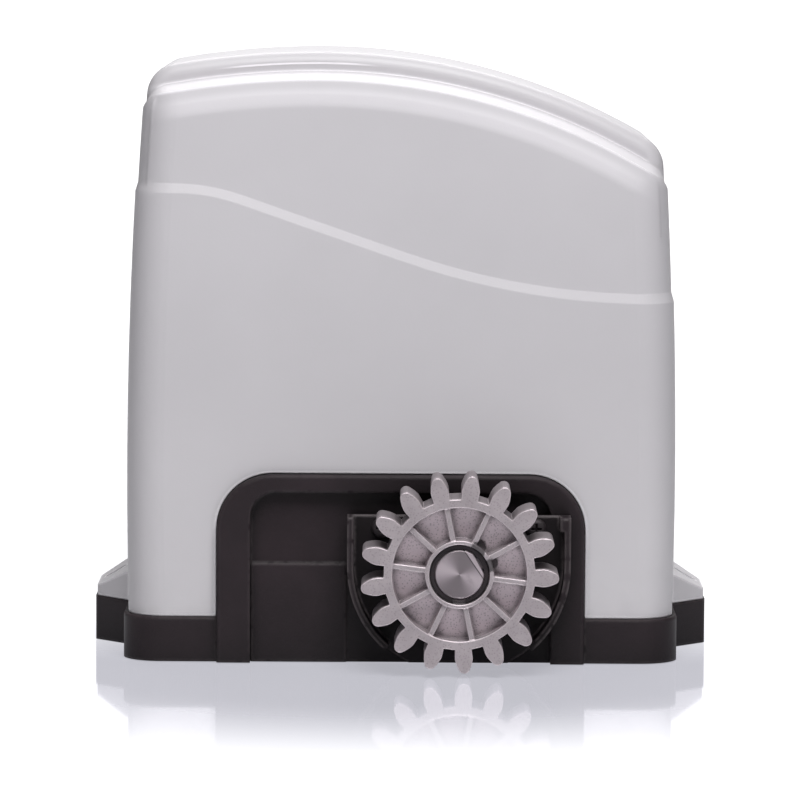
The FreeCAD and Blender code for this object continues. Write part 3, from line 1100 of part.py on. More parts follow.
def make_electrics():
    face = "(carrier_y + carrier_thick)"
    seat = "(carrier_y + carrier_thick + post_height)"
    top = "(carrier_y + carrier_thick + post_height + board_thick)"
    corners = [(x, z) for x in ("board_left + post_inset", "board_right - post_inset")
               for z in ("board_low + post_inset", "board_high - post_inset")]
    posts = [rod("post_%d" % k, "Y", spot, (face + " - 0.5", seat), "post_r") for k,
             spot in enumerate(corners)]
    plate = box("carrier_plate", ("carrier_left", "carrier_right"), ("carrier_y", face),
                ("floor_thick", "carrier_top"))
    plate = rounded("carrier_round", plate, lambda edge: 6.0 if along(edge, "Y")
                    and edge.BoundBox.ZMin > 100 else None)
    foot = box("carrier_foot_block", ("carrier_left", "carrier_right"),
               (face + " - 1", face + " + carrier_foot"),
               ("floor_thick", "floor_thick + 3"))
    spots = [(x, face + " + 4.5") for x in ("carrier_left + 12", "carrier_right - 10")]
    holes = [rod("post_hole_%d" % k, "Y", spot, (face + " + 0.5", seat + " + 1"), "screw_r + press_fit")
             for k, spot in enumerate(corners)]
    holes += [rod("foot_hole_%d" % k, "Z", spot, ("0", "20"), "screw_r + 0.2") for k,
              spot in enumerate(spots)]
    node("board_carrier", cut("board_carrier", fuse("carrier_solid", plate, foot, *posts), *holes))
    node("carrier_screws", group("carrier_screws", *[
        screw("carrier_screw_%d" % k, "Z", x, y, "floor_thick + 3", "5.8", flip=True)
        for k, (x, y) in enumerate(spots)]))
    board = box("board_plate", ("board_left", "board_right"), (seat, top), ("board_low", "board_high"))
    node("control_board", cut("control_board", board, *[
        rod("board_hole_%d" % k, "Y", spot, (face, "60"), "screw_r + 0.2") for k,
        spot in enumerate(corners)]))
    node("board_screws", group("board_screws", *[
        screw("board_screw_%d" % k, "Y", x, top, z, "board_thick + 4.5", flip=True)
        for k, (x, z) in enumerate(corners)]))

    def part(name, left, right, low, high, reach):
        return box(name, ("board_left + %s" % left, "board_left + %s" % right),
                   (top, top + " + %s" % reach),
                   ("board_low + %s" % low, "board_low + %s" % high))

    core = part("transformer_core", 12, 46, 12, 40, 24)
    bobbin = part("transformer_bobbin", 17, 41, 8, 44, 20)
    node("transformer", fuse("transformer", core, bobbin))
    node("relays",
         group("relays", part("relay_a", 52, 66, 30, 50, 16), part("relay_b", 52, 66, 54, 74, 16)))
    block = part("terminal_body", 48, 76, 10, 20, 12)
    ways = [rod("terminal_way_%d" % k, "Z", ("board_left + %d" % (51 + 5.5 * k), top + " + 5"),
                ("board_low + 5", "board_low + 16"), "1.6") for k in range(5)]
    node("terminal_block", cut("terminal_block", block, *ways))
    node("fuse",
         rod("fuse", "X", (top + " + 2.6", "board_low + 78"), ("board_left + 14", "board_left + 34"),
             "2.6"))
    base = part("button_block", 40, 47, 56, 63, 3.5)
    spot = ("board_left + 43.5", "board_low + 59.5")
    node("button_base",
         cut("button_base", base, rod("button_way", "Y", spot, (top + " + 1.5", "60"), "1.75")))
    node("learn_button", rod("learn_button", "Y", spot, (top + " + 2", top + " + 5.5"), "1.7"))
    middle = "(%s + clip_wall + cap_r)" % face
    across = ("cap_x", middle)
    can = rod("can", "Z", across, ("cap_low", "cap_high"), "cap_r")
    studs = [rod("cap_stud_%d" % k, "Z", ("cap_x + %d" % x, middle), ("cap_high - 1", "cap_high + 4"),
                 "1.5")
             for k, x in enumerate((-5, 5))]
    node("capacitor", fuse("capacitor", can, *studs))
    band = ("cap_low + 20", "cap_low + 20 + clip_height")
    ring = tube("clip_ring", "Z", across, band, "cap_r + clip_wall", "cap_r + press_fit")
    gap = box("clip_gap", ("cap_x - 6", "cap_x + 6"), (middle + " + 8", middle + " + 30"), ("0", "90"))
    node("capacitor_clip", cut("capacitor_clip", ring, gap))
    node("limit_sensor",
         box("limit_sensor", ("-40", "-24"), (PANEL_BACK, PANEL_BACK + " + 7"), ("44", "58")))
    x_half = "cable_length / 2"
    y_half = "cable_width / 2"

    def frame(name, grow, low, high):
        return box(name, ("cable_x - %s - (%s)" % (x_half, grow), "cable_x + %s + (%s)" % (x_half, grow)),
                   ("cable_y - %s - (%s)" % (y_half, grow), "cable_y + %s + (%s)" % (y_half, grow)),
                   (low, high))

    node("cable_grommet", cut(
        "cable_grommet", fuse("grommet_solid", frame("grommet_neck", "-0.05", "0.5", "floor_thick"),
                              frame("grommet_flange", "grommet_lip", "floor_thick", "floor_thick + 2")),
        frame("grommet_way", "-grommet_wall", "-5", "30")))


make_electrics()


# Checks and files

def write_parts():
    doc.recompute()
    os.makedirs("parts", exist_ok=True)
    for item in doc.Objects:
        if "Invalid" in item.State or "Error" in item.State:
            raise ValueError("%s: %s" % (item.Name, item.State))
    for label, item in nodes.items():
        shape = item.Shape
        if shape.isNull() or not shape.isValid():
            raise ValueError(label + " has no valid shape")
        shape.exportStep("parts/%s.step" % label)


write_parts()
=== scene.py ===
"""Sliding gate motor: finishes, fine pieces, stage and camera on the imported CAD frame."""

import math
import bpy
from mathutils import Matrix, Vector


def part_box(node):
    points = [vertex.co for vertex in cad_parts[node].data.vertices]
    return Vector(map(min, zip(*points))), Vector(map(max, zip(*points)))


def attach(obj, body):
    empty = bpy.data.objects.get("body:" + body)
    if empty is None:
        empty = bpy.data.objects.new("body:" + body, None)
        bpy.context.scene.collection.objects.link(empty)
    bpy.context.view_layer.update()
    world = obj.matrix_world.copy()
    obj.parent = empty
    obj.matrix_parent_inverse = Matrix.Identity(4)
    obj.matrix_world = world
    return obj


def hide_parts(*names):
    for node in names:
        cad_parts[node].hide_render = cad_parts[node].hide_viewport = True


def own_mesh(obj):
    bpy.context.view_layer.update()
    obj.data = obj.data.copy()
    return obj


bl_info = {
    "name": "Sliding gate motor",
    "version": (1, 0, 0),
    "blender": (4, 5, 0),
    "location": "View3D > Sidebar > Gate motor",
    "description": "Dresses the CAD frame of a sliding gate motor and sets up its studio",
    "category": "Object",
}

import bmesh
import bpy
from bpy.props import FloatProperty, FloatVectorProperty, IntProperty, PointerProperty
from bpy.types import Operator, Panel, PropertyGroup
from mathutils import Matrix, Vector

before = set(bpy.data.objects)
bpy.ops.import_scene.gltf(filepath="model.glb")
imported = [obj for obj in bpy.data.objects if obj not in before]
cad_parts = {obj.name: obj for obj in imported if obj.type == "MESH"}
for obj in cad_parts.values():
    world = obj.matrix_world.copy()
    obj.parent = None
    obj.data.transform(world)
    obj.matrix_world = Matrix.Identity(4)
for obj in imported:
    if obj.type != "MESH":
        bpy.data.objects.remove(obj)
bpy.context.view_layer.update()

MERGE = 1e-6
EDGE_SAMPLES = 6
WHITE = (1.0, 1.0, 1.0, 1.0)
FILM_WIDTH = 36.0
FAR_CLIP = 100.0
TURNING_MARKS_PER_METRE = 5200.0
# Chips beside the shaft's flat, darkened with painted shade: place across, place up and radius
CHIPS = ((0.0068, 0.0098, 0.0042), (0.0118, 0.0038, 0.0038))


def screen(red, green, blue):
    """Linear colour of the 8-bit values that a screen shows."""
    def linear(value):
        value /= 255
        return value / 12.92 if value <= 0.04045 else ((value + 0.055) / 1.055) ** 2.4
    return (linear(red), linear(green), linear(blue))


def paint(name, about, colour):
    """A colour that a user may change."""
    return FloatVectorProperty(name=name, description=about, default=colour, subtype="COLOR",
                               min=0.0, max=1.0)


def length(name, about, metres):
    """A length that a user may change."""
    return FloatProperty(name=name, description=about, default=metres, unit="LENGTH", precision=5)


def share(name, about, part):
    """A part of the whole that a user may change."""
    return FloatProperty(name=name, description=about, default=part, subtype="FACTOR", min=0.0, max=1.0)


def angle(name, about, degrees):
    """An angle that a user may change."""
    return FloatProperty(name=name, description=about, default=math.radians(degrees), subtype="ANGLE")


def number(name, about, value):
    """A plain number that a user may change."""
    return FloatProperty(name=name, description=about, default=value)


def count(name, about, value):
    """A whole number that a user may change."""
    return IntProperty(name=name, description=about, default=value, min=1)


class GateMotorColours(PropertyGroup):
    """Colours of the finishes."""

    cover: paint("Cover", "Pale grey moulding of the cover", screen(216, 213, 217))
    black: paint("Black plastic", "Base, guard and release housing", screen(46, 38, 42))
    # Pale edges of the black plastic: rub wear and painted highlight.
    worn_highlight: paint("Worn black", "Rubbed edges of the black plastic", screen(104, 97, 99))
    # Painted shade: the darker colour of the recess behind the pinion.
    recess: paint("Recess", "Dull floor of the recess behind the pinion", screen(32, 17, 23))
    pinion: paint("Pinion", "Blasted casting of the output pinion", screen(176, 167, 171))
    shaft: paint("Shaft", "Turned end of the output shaft", screen(168, 158, 163))
    steel: paint("Steel", "Ground and turned steel inside", screen(176, 176, 180))
    oxide: paint("Dark ring", "Oiled spring steel of the retaining rings", screen(52, 46, 49))
    zinc: paint("Zinc", "Plated screws and bolts", screen(190, 191, 196))
    casting: paint("Casting", "Cast aluminium of gearbox and motor shields", screen(178, 179, 182))
    bronze: paint("Bronze", "Worm wheel and its bush", screen(193, 150, 84))
    copper: paint("Copper", "Enamelled winding wire", screen(171, 96, 56))
    lamination: paint("Laminations", "Edges of stacked sheet", screen(120, 121, 126))
    rubber: paint("Rubber", "Seal and cable grommet", screen(30, 29, 30))
    board: paint("Board", "Solder mask of the control board", screen(24, 92, 54))
    dark_part: paint("Dark parts", "Black moulded parts on the board", screen(38, 38, 42))
    light_part: paint("Light parts", "Pale moulded parts and the carrier", screen(214, 214, 208))
    lever: paint("Lever", "Release lever", screen(92, 91, 94))
    lock: paint("Lock", "Plated key cylinder", screen(205, 205, 209))
    floor: paint("Floor", "Studio floor", screen(137, 137, 142))
    glass: paint("Fuse glass", "Clear tube of the fuse", screen(222, 228, 228))


class GateMotorSizes(PropertyGroup):
    """Sizes of the fine detail, of the marks and of the painted shade and highlights in the finishes."""

    soft_edge: length("Soft edge", "Radius that moulded edges seem to have", 0.0008)
    # Painted highlight: how far the pale band painted along the cover's cut edges reaches.
    bright_edge: length("Bright edge", "How far the cover's cut edges look rubbed pale", 0.0022)
    black_edge: length("Black edge", "Radius that the edges of the black mouldings seem to have", 0.002)
    cast_edge: length("Cast edge", "Radius that the pinion's edges seem to have", 0.0009)
    crest_middle: length("Crest middle", "Where the cover is highest", -0.032)
    crest_left: length("Crest left", "Radius of the crest on the left", 0.33)
    crest_right: length("Crest right", "Radius of the crest on the right", 0.25)
    corner_blend: length("Corner blend", "Radius over which the cover's corners blend", 0.005)
    corner_out: length("Corner out", "How far from the middle the corners start", 0.094)
    corner_fade: length("Corner fade", "Width over which the corners' blend sets in", 0.004)
    corner_low: length("Corner low", "Height at which the corners' blend starts", 0.14)
    corner_rise: length("Corner rise", "Height over which the corners' blend sets in", 0.01)
    dust_low: length("Dust low", "Height under which the cover is dustiest", 0.018)
    dust_high: length("Dust high", "Height over which the cover has no dust", 0.05)
    # Painted shade: the greyer top of the crown.
    crown_drop: length("Crown drop", "How far the greyer top of the crown reaches down", 0.006)
    crown_fade: length("Crown fade", "Width over which the greyer top ends", 0.002)
    # Painted highlight: the pale streak under the crown's top.
    streak_drop: length("Streak drop", "How far the pale streak lies under the crown's top", 0.017)
    streak_half: length("Streak half", "Half width of the pale streak", 0.0015)
    streak_fade: length("Streak fade", "Soft border of the pale streak", 0.0035)
    streak_reach: length("Streak reach", "Half length of the pale streak", 0.08)
    streak_end: length("Streak end", "Length over which the pale streak runs out", 0.022)
    # The seam on the crown is painted: a dark line of painted shade with a bright lip of painted
    # highlight.
    seam_middle: length("Seam middle", "Middle of the fine seam on the crown", -0.041)
    seam_drop: length("Seam drop", "How far the seam lies under the crown's top", 0.0045)
    seam_half: length("Seam half", "Half width of the seam", 0.0003)
    seam_fade: length("Seam fade", "Soft border of the seam", 0.0012)
    seam_reach: length("Seam reach", "Half length of the seam", 0.018)
    seam_end: length("Seam end", "Length over which the seam runs out", 0.016)
    lip_half: length("Lip half", "Half width of the seam's bright lip", 0.0002)
    lip_fade: length("Lip fade", "Soft border of the seam's bright lip", 0.0003)
    grain: length("Grain", "Size of the black plastic's grain", 0.0007)
    # Where the painted shade of the recess behind the pinion lies.
    recess_half: length("Recess half", "Half width of the recess behind the pinion", 0.07)
    recess_fade: length("Recess fade", "Width over which the recess ends at its sides", 0.005)
    recess_start: length("Recess start", "How far behind the base's front the recess starts", 0.003)
    recess_full: length("Recess full", "How far behind the base's front its colour is strongest", 0.008)
    recess_back: length("Recess back", "Depth to which the recess has its full colour", -0.04)
    recess_end: length("Recess end", "Depth at which the colour of the recess ends", -0.03)
    pit: length("Pit", "Size of the pits in the blasted casting", 0.0009)
    face_depth: length("Face depth", "Depth of the pinion's front face", 0.0015)
    pocket_depth: length("Pocket depth", "Depth of the pinion's pockets", 0.0085)
    pocket_out: length("Pocket", "Outer radius of the pinion's pockets", 0.0275)
    pocket_rim: length("Pocket rim", "Soft border of the pinion's pockets", 0.0005)
    flat_out: length("Shaft flat", "Distance of the shaft's flat from its axis", 0.0066)
    flat_line: length("Flat line", "Half width of the line along the shaft's flat", 0.0001)
    flat_angle: angle("Flat angle", "Direction of the shaft's flat", 34.5)
    sheet: length("Sheet", "Thickness of a sheet in the motor's stacks", 0.0005)
    winding_wire: length("Winding wire", "Radius of the winding wire", 0.00045)
    fuse_clear: length("Fuse window", "Half length of the fuse's clear tube", 0.0055)
    fuse_cap: length("Fuse cap edge", "Width over which the fuse's caps start", 0.0005)
    spring_wire: length("Spring wire", "Radius of the clutch spring's wire", 0.0007)
    spring_turns: count("Spring turns", "Turns of the clutch spring", 3)
    spring_steps: count("Spring steps", "Steps in a turn of the spring", 48)
    spring_sides: count("Spring sides", "Sides of the spring's wire", 12)
    spring_sharp: angle("Spring sharp", "Edges of the spring over this angle stay sharp", 50.0)
    clutch_travel: length("Clutch travel", "How far the clutch presses its spring", 0.0041)
    screw_head: length("Screw head", "Radius of the small pan heads", 0.0039)
    screw_height: length("Screw height", "Height of the small pan heads", 0.0026)
    screw_shank: length("Screw shank", "Radius of the small screws", 0.0019)
    screw_steps: count("Screw steps", "Steps round a small screw", 32)
    screw_sharp: angle("Screw sharp", "Edges of a screw over this angle stay sharp", 30.0)
    drive_arm: length("Drive arm", "Half length of a cross recess", 0.0021)
    drive_width: length("Drive width", "Half width of a cross recess", 0.00045)
    drive_depth: length("Drive depth", "Depth of a cross recess", 0.0014)
    drive_taper: share("Drive taper", "How far a cross recess narrows to its floor", 0.72)


class GateMotorWearAndLight(PropertyGroup):
    """How strongly marks, dust and rub show, and how strongly painted shade and painted highlights show.
    """

    cover_dust: share("Cover dust", "Dust low on the cover", 0.35)
    # Painted shade in the cover's corners and gaps.
    cover_gap_shade: share("Cover gaps", "Shade in the cover's corners and gaps", 0.5)
    # Painted highlight along the cover's edges.
    cover_edge_highlight: share("Cover edges", "Pale rubbed edges of the cover", 0.9)
    # Painted shade on the top of the crown.
    crown_top_shade: share("Crown top", "Greyer top of the crown", 0.7)
    # Painted highlight: the pale streak under the crown.
    streak: share("Streak", "Pale streak under the crown", 0.5)
    # Painted shade along the seam on the crown.
    seam: share("Seam", "Dark border of the seam on the crown", 0.5)
    black_dust: share("Black dust", "Dust on the upward faces of black mouldings", 0.25)
    # Painted shade in the recess behind the pinion.
    recess: share("Recess", "Dull colour of the recess behind the pinion", 0.7)
    # Painted shade deep in black hollows.
    hollows: share("Hollows", "Darkness deep in black hollows", 0.8)
    # Painted shade in the corners of black mouldings.
    black_gap_shade: share("Black gaps", "Dirt in the corners of black mouldings", 0.6)
    # Pale edges of housing and guard: rub wear and painted highlight.
    housing_edge_highlight: share("Housing edges", "Rubbed edges of base and release housing", 0.25)
    guard_edge_highlight: share("Guard edges", "Rubbed edges of the gear guard", 0.8)
    # Painted light on the floors of the pinion's pockets.
    pockets: share("Pockets", "Pale floors of the pinion's pockets", 0.85)
    # Painted shade on the pinion's tooth flanks.
    flanks: share("Flanks", "Dark flanks of the pinion's teeth", 0.6)
    pits: share("Pits", "Dark pits in the blasted casting", 0.45)
    # Painted shade in the pinion's corners.
    pinion_gap_shade: share("Pinion gaps", "Grime in the pinion's corners", 0.75)
    # Painted highlight on the pinion's edges.
    pinion_edge_highlight: share("Pinion edges", "Bright edges of the pinion", 0.75)
    # Chips: dents with painted shade in them.
    chips: share("Chips", "Dark chips beside the shaft's flat", 0.85)
    # Painted highlight in fans on the shaft end.
    shaft_fans: share("Shaft fans", "Bright fans on the turned shaft end", 0.8)
    shaft_stains: share("Shaft stains", "Stains on the shaft end", 0.4)
    # Painted light on the shaft's flat, and painted shade along its edge.
    shaft_flat: share("Shaft flat", "Pale flat of the shaft end", 0.8)
    shaft_line: share("Shaft line", "Dark line along the shaft's flat", 0.9)
    shaft_edges: share("Shaft edges", "Bright edges of the shaft", 0.5)


class GateMotorStage(PropertyGroup):
    """Floor, lamps and camera."""

    camera_x: length("Camera offset", "How far left of the middle the camera stands", -0.0006)
    camera_y: length("Camera distance", "How far in front of the middle the camera stands", 2.02)
    camera_z: length("Camera height", "Height of the camera over the floor", 0.291)
    tilt: angle("Tilt", "How far the camera looks down", 5.53)
    roll: angle("Roll", "How far the camera leans to one side", 0.34)
    lens: number("Lens", "Focal length in millimetres on a 36 mm frame", 227.0)
    ambient: number("Ambient", "Light of the surroundings", 0.06)
    flags: number("Flags", "Light of the dark cards beside the set", 0.08)
    card_left: number("Card left", "Left end of the white card, as part of a direction", -0.14)
    card_left_fade: number("Card left fade", "Soft border of the card's left end", 0.08)
    card_right: number("Card right", "Right end of the white card, as part of a direction", 0.26)
    card_right_fade: number("Card right fade", "Soft border of the card's right end", 0.1)
    card_behind: number("Card behind", "How squarely behind the set the card is full", 0.8)
    card_behind_fade: number("Card behind fade", "Soft border of the card's sides", 0.3)
    key_lamp: number("Key lamp", "Power of the lamp above the front", 26.0)
    back_lamp: number("Back lamp", "Power of the lamp above the back", 15.0)
    floor_radius: length("Floor radius", "Radius of the studio floor", 30.0)
    floor_steps: count("Floor steps", "Sides of the round floor", 96)
    floor_drop: length("Floor drop", "How far the floor lies under the object", 0.0004)
    # Painted tint: the cool cast of reflection and shadow on the floor near the object.
    floor_tint: paint("Floor tint", "Colour of the floor's glow near the object", (0.91, 0.91, 1.0))
    floor_glow: number("Floor glow", "How pale the camera sees the floor", 0.92)
    far_glow: number("Far glow", "How much paler the floor is far away", 0.35)
    far_start: length("Far start", "Where the floor starts to turn paler", 0.3)
    far_end: length("Far end", "Where the floor is palest", 2.5)
    mirror: share("Mirror", "Share of mirror image in the floor", 0.5)
    mirror_rough: share("Mirror roughness", "How blurred the floor's mirror image is", 0.05)
    mirror_start: length("Mirror start", "Where the floor's mirror image starts to fade", 0.17)
    mirror_end: length("Mirror end", "Where the floor's mirror image ends", 0.35)
    mirror_back: length("Mirror back", "How far either side of the middle it fades to the back", 0.08)


class Flow:
    """A socket that arithmetic can be written on; each sign adds a Math node."""

    def __init__(self, tree, socket):
        self.tree = tree
        self.socket = socket

    def math(self, operation, first, second=0.0):
        return self.tree.add("ShaderNodeMath", {"operation": operation}, {0: first, 1: second})

    def __add__(self, other):
        return self.math("ADD", self, other)

    def __sub__(self, other):
        return self.math("SUBTRACT", self, other)

    def __mul__(self, other):
        return self.math("MULTIPLY", self, other)

    def __pow__(self, other):
        return self.math("POWER", self, other)

    def __radd__(self, other):
        return self.math("ADD", other, self)

    def __rsub__(self, other):
        return self.math("SUBTRACT", other, self)

    def __rmul__(self, other):
        return self.math("MULTIPLY", other, self)

    def __abs__(self):
        return self.math("ABSOLUTE", self)

    def larger(self, other):
        """The larger of two values."""
        return self.math("MAXIMUM", self, other)

    def ramp(self, low, high):
        """0 below low, 1 above high, smooth between; low may be the larger one."""
        return self.tree.add("ShaderNodeMapRange", {"interpolation_type": "SMOOTHSTEP"},
                             {0: self, 1: low, 2: high, 3: 0.0, 4: 1.0})


def distance(first, second):
    """Length of the straight line over two lengths at a right angle."""
    return (first * first + second * second) ** 0.5


class Tree:
    """A node tree that is filled by expressions."""

    def __init__(self, node_tree):
        self.nodes = node_tree.nodes
        self.links = node_tree.links
        self.nodes.clear()

    def add(self, kind, settings=None, values=None, out=0):
        """Any node: its settings first, then the values or links of its sockets."""
        node = self.nodes.new(kind)
        for key, value in (settings or {}).items():
            setattr(node, key, value)
        for key, value in (values or {}).items():
            if isinstance(value, Flow):
                self.links.new(value.socket, node.inputs[key])
            else:
                node.inputs[key].default_value = value
        return Flow(self, node.outputs[out]) if node.outputs else None

    def parts(self, vector):
        """The three parts of a vector."""
        first = self.add("ShaderNodeSeparateXYZ", values={0: vector})
        return [Flow(self, socket) for socket in first.socket.node.outputs]

    def sight(self):
        """1 for rays that come straight from the camera, and 1 for those by way of metal or glass."""
        rays = self.add("ShaderNodeLightPath").socket.node.outputs
        bent = Flow(self, rays["Is Glossy Ray"]) + Flow(self, rays["Is Transmission Ray"])
        return Flow(self, rays["Is Camera Ray"]), bent


class Finish(Tree):
    """A material on Object coordinates."""

    def __init__(self, name):
        self.material = bpy.data.materials.new(name)
        self.material.use_nodes = True
        super().__init__(self.material.node_tree)
        self.place = self.add("ShaderNodeTexCoord", out=3)
        self.facing = self.add("ShaderNodeNewGeometry", out=1)

    def round_axis(self, node, first=0, second=2):
        """How far a point lies from a node's middle along two axes, and from the third one through it."""
        low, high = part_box(node)
        middle = (low + high) / 2
        parts = self.parts(self.place)
        across = parts[first] - middle[first]
        up = parts[second] - middle[second]
        return across, up, distance(across, up)

    def stretched(self, scale):
        """Coordinates that draw a pattern out along the axes with a small scale."""
        return self.add("ShaderNodeMapping", values={"Vector": self.place, "Scale": scale})

    def noise(self, size, detail=2.0, rough=0.5, place=None):
        """Soft noise with blotches of about the given size in metres."""
        return self.add("ShaderNodeTexNoise", values={
            "Vector": place or self.place, "Scale": 1.0 / size, "Detail": detail, "Roughness": rough})

    def cells(self, size, feature="F1", place=None):
        """Distances in a pattern of cells of about the given size in metres."""
        return self.add("ShaderNodeTexVoronoi", {"feature": feature}, {
            "Vector": place or self.place, "Scale": 1.0 / size})

    def mix(self, factor, first, second):
        """Two colours mixed by a factor."""
        def full(colour):
            return colour if isinstance(colour, Flow) else tuple(colour)[:3] + (1.0,)
        return self.add("ShaderNodeMix", {"data_type": "RGBA"},
                        {0: factor, 6: full(first), 7: full(second)}, out=2)

    def mottled(self, blotches, colour, dark, light):
        """A colour that drifts between a darker and a lighter shade."""
        return self.mix(blotches.ramp(0.3, 0.7), shade(colour, dark), shade(colour, light))

    def soft_edges(self, radius, low=0.01, high=0.25):
        """The normal rounded over edges, and a mask of where that is; low limits make the mask wide."""
        smooth = self.add("ShaderNodeBevel", {"samples": EDGE_SAMPLES}, {"Radius": radius})
        likeness = self.add("ShaderNodeVectorMath", {"operation": "DOT_PRODUCT"},
                            {0: smooth, 1: self.facing}, out=1)
        return smooth, (1.0 - likeness).ramp(low, high)

    def spot(self, across, up, at_across, at_up, reach):
        """1 round a point of a plane, with a ragged border."""
        tatter = 0.0016
        core = 0.8 * reach
        ragged = self.noise(0.0015, detail=3.0, rough=0.6) * tatter
        return (distance(across - at_across, up - at_up) + ragged).ramp(reach, core)

    def crevice_shade(self, reach):
        """Near 1 in corners and narrow gaps, 0 on open faces; the finishes paint shade there with it."""
        open_sky = self.add("ShaderNodeAmbientOcclusion", {"samples": EDGE_SAMPLES},
                            {"Distance": reach}, out=1)
        return open_sky.ramp(low=0.9, high=0.35)

    def bump(self, height, depth, strength, normal=None):
        """A normal that follows a height pattern of the given depth in metres."""
        values = {"Strength": strength, "Distance": depth, "Height": height}
        if normal is not None:
            values["Normal"] = normal
        return self.add("ShaderNodeBump", values=values)

    def close(self, **values):
        """The surface itself; names are sockets with spaces as underscores."""
        sockets = {key.replace("_", " "): value for key, value in values.items()}
        surface = self.add("ShaderNodeBsdfPrincipled", values=sockets)
        self.add("ShaderNodeOutputMaterial", values={"Surface": surface})
        return self.material


def shade(colour, factor):
    """A lighter or darker version of a colour."""
    return tuple(min(1.0, part * factor) for part in tuple(colour)[:3])


def dress(material, *nodes):
    """Gives CAD nodes a material."""
    for name in nodes:
        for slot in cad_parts[name].material_slots:
            slot.material = material


def settle(bm, name, material, body, replaced, sharp):
    """Turns a bmesh into a smooth piece that rides on a body and stands for a node."""
    bmesh.ops.remove_doubles(bm, verts=bm.verts, dist=MERGE)
    bmesh.ops.recalc_face_normals(bm, faces=bm.faces)
    mesh = bpy.data.meshes.new(name)
    bm.to_mesh(mesh)
    bm.free()
    mesh.materials.append(material)
    piece = bpy.data.objects.new(name, mesh)
    bpy.context.scene.collection.objects.link(piece)
    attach(piece, body)
    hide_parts(replaced)
    mesh.polygons.foreach_set("use_smooth", [True] * len(mesh.polygons))
    mesh.set_sharp_from_angle(angle=sharp)
    return piece


def looks(context):
    return context.scene.gate_motor_colours


def sizes(context):
    return context.scene.gate_motor_sizes


def wear_and_light_of(context):
    return context.scene.gate_motor_wear


# Finishes

def under_crest(x, z, size):
    """How far a point lies under the arc of the cover's crest."""
    hair = 0.0001
    off = x - size.crest_middle
    radius = off.ramp(-hair, hair) * (size.crest_right - size.crest_left) + size.crest_left
    sag = radius - (radius * radius - off * off) ** 0.5
    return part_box("cover")[1].z - z - sag


def band(value, middle, half, soft):
    """1 within half a width of a middle, fading over a soft border."""
    return abs(value - middle).ramp(half + soft, half)


def moulded_cover(colours, size, wear_and_light):
    """Satin moulding: even colour, faint pebble and a little dust low down, with painted highlights on
    the edges, in a streak and on the seam's lip, and painted shade in gaps, on the crown's top and in the
    seam.
    """
    look = Finish("moulded_cover")
    x, _, z = look.parts(look.place)
    broad = look.noise(0.09, detail=3.0)
    pebble = look.noise(0.0009)
    upright = look.stretched((1.0, 1.0, 0.12))
    scuff = look.noise(0.012, detail=4.0, rough=0.7, place=upright).ramp(0.6, 0.78)
    dust = z.ramp(size.dust_high, size.dust_low) * look.noise(0.02, detail=4.0).ramp(0.35, 0.8)
    corner = abs(x).ramp(size.corner_out, size.corner_out + size.corner_fade)
    corner = corner * z.ramp(size.corner_low, size.corner_low + size.corner_rise)
    # Painted highlight along the cover's edges, left out at the upper corners.
    rubbed = look.soft_edges(size.bright_edge, low=0.004, high=0.03)[1] * (1.0 - corner)
    below = under_crest(x, z, size)
    # Painted shade greys the top of the crown.
    crown = below.ramp(size.crown_drop + size.crown_fade, size.crown_drop)
    # Painted highlight: a pale streak along the rim under the crown.
    streak = band(below, size.streak_drop, size.streak_half, size.streak_fade)
    streak = streak * band(x, 0.0, size.streak_reach, size.streak_end)
    # The seam is painted: a dark line of painted shade and a bright lip of painted highlight.
    along = band(x, size.seam_middle, size.seam_reach, size.seam_end)
    seam = band(below, size.seam_drop, size.seam_half, size.seam_fade) * along
    lip = band(below, size.seam_drop, size.lip_half, size.lip_fade) * along
    tone = look.mottled(broad, colours.cover, dark=0.97, light=1.02)
    tone = look.mix(dust * wear_and_light.cover_dust, tone, shade(colours.cover, 0.82))
    # Painted shade in the cover's corners and gaps.
    tone = look.mix(look.crevice_shade(0.004) * wear_and_light.cover_gap_shade, tone, shade(colours.cover, 0.3))
    tone = look.mix(rubbed * wear_and_light.cover_edge_highlight, tone, shade(colours.cover, 1.4))
    tone = look.mix(crown * wear_and_light.crown_top_shade, tone, shade(colours.cover, 0.76))
    tone = look.mix(streak * wear_and_light.streak, tone, shade(colours.cover, 1.3))
    tone = look.mix(seam * wear_and_light.seam, tone, shade(colours.cover, 0.7))
    tone = look.mix(lip, tone, shade(colours.cover, 1.3))
    rough = 0.4 + 0.1 * broad + 0.08 * scuff + 0.1 * dust
    crisp = look.soft_edges(size.soft_edge)[0]
    normal = look.mix(corner, crisp, look.soft_edges(size.corner_blend)[0])
    return look.close(Base_Color=tone, Roughness=rough, IOR=1.46,
                      Normal=look.bump(pebble, depth=0.00006, strength=0.35, normal=normal))


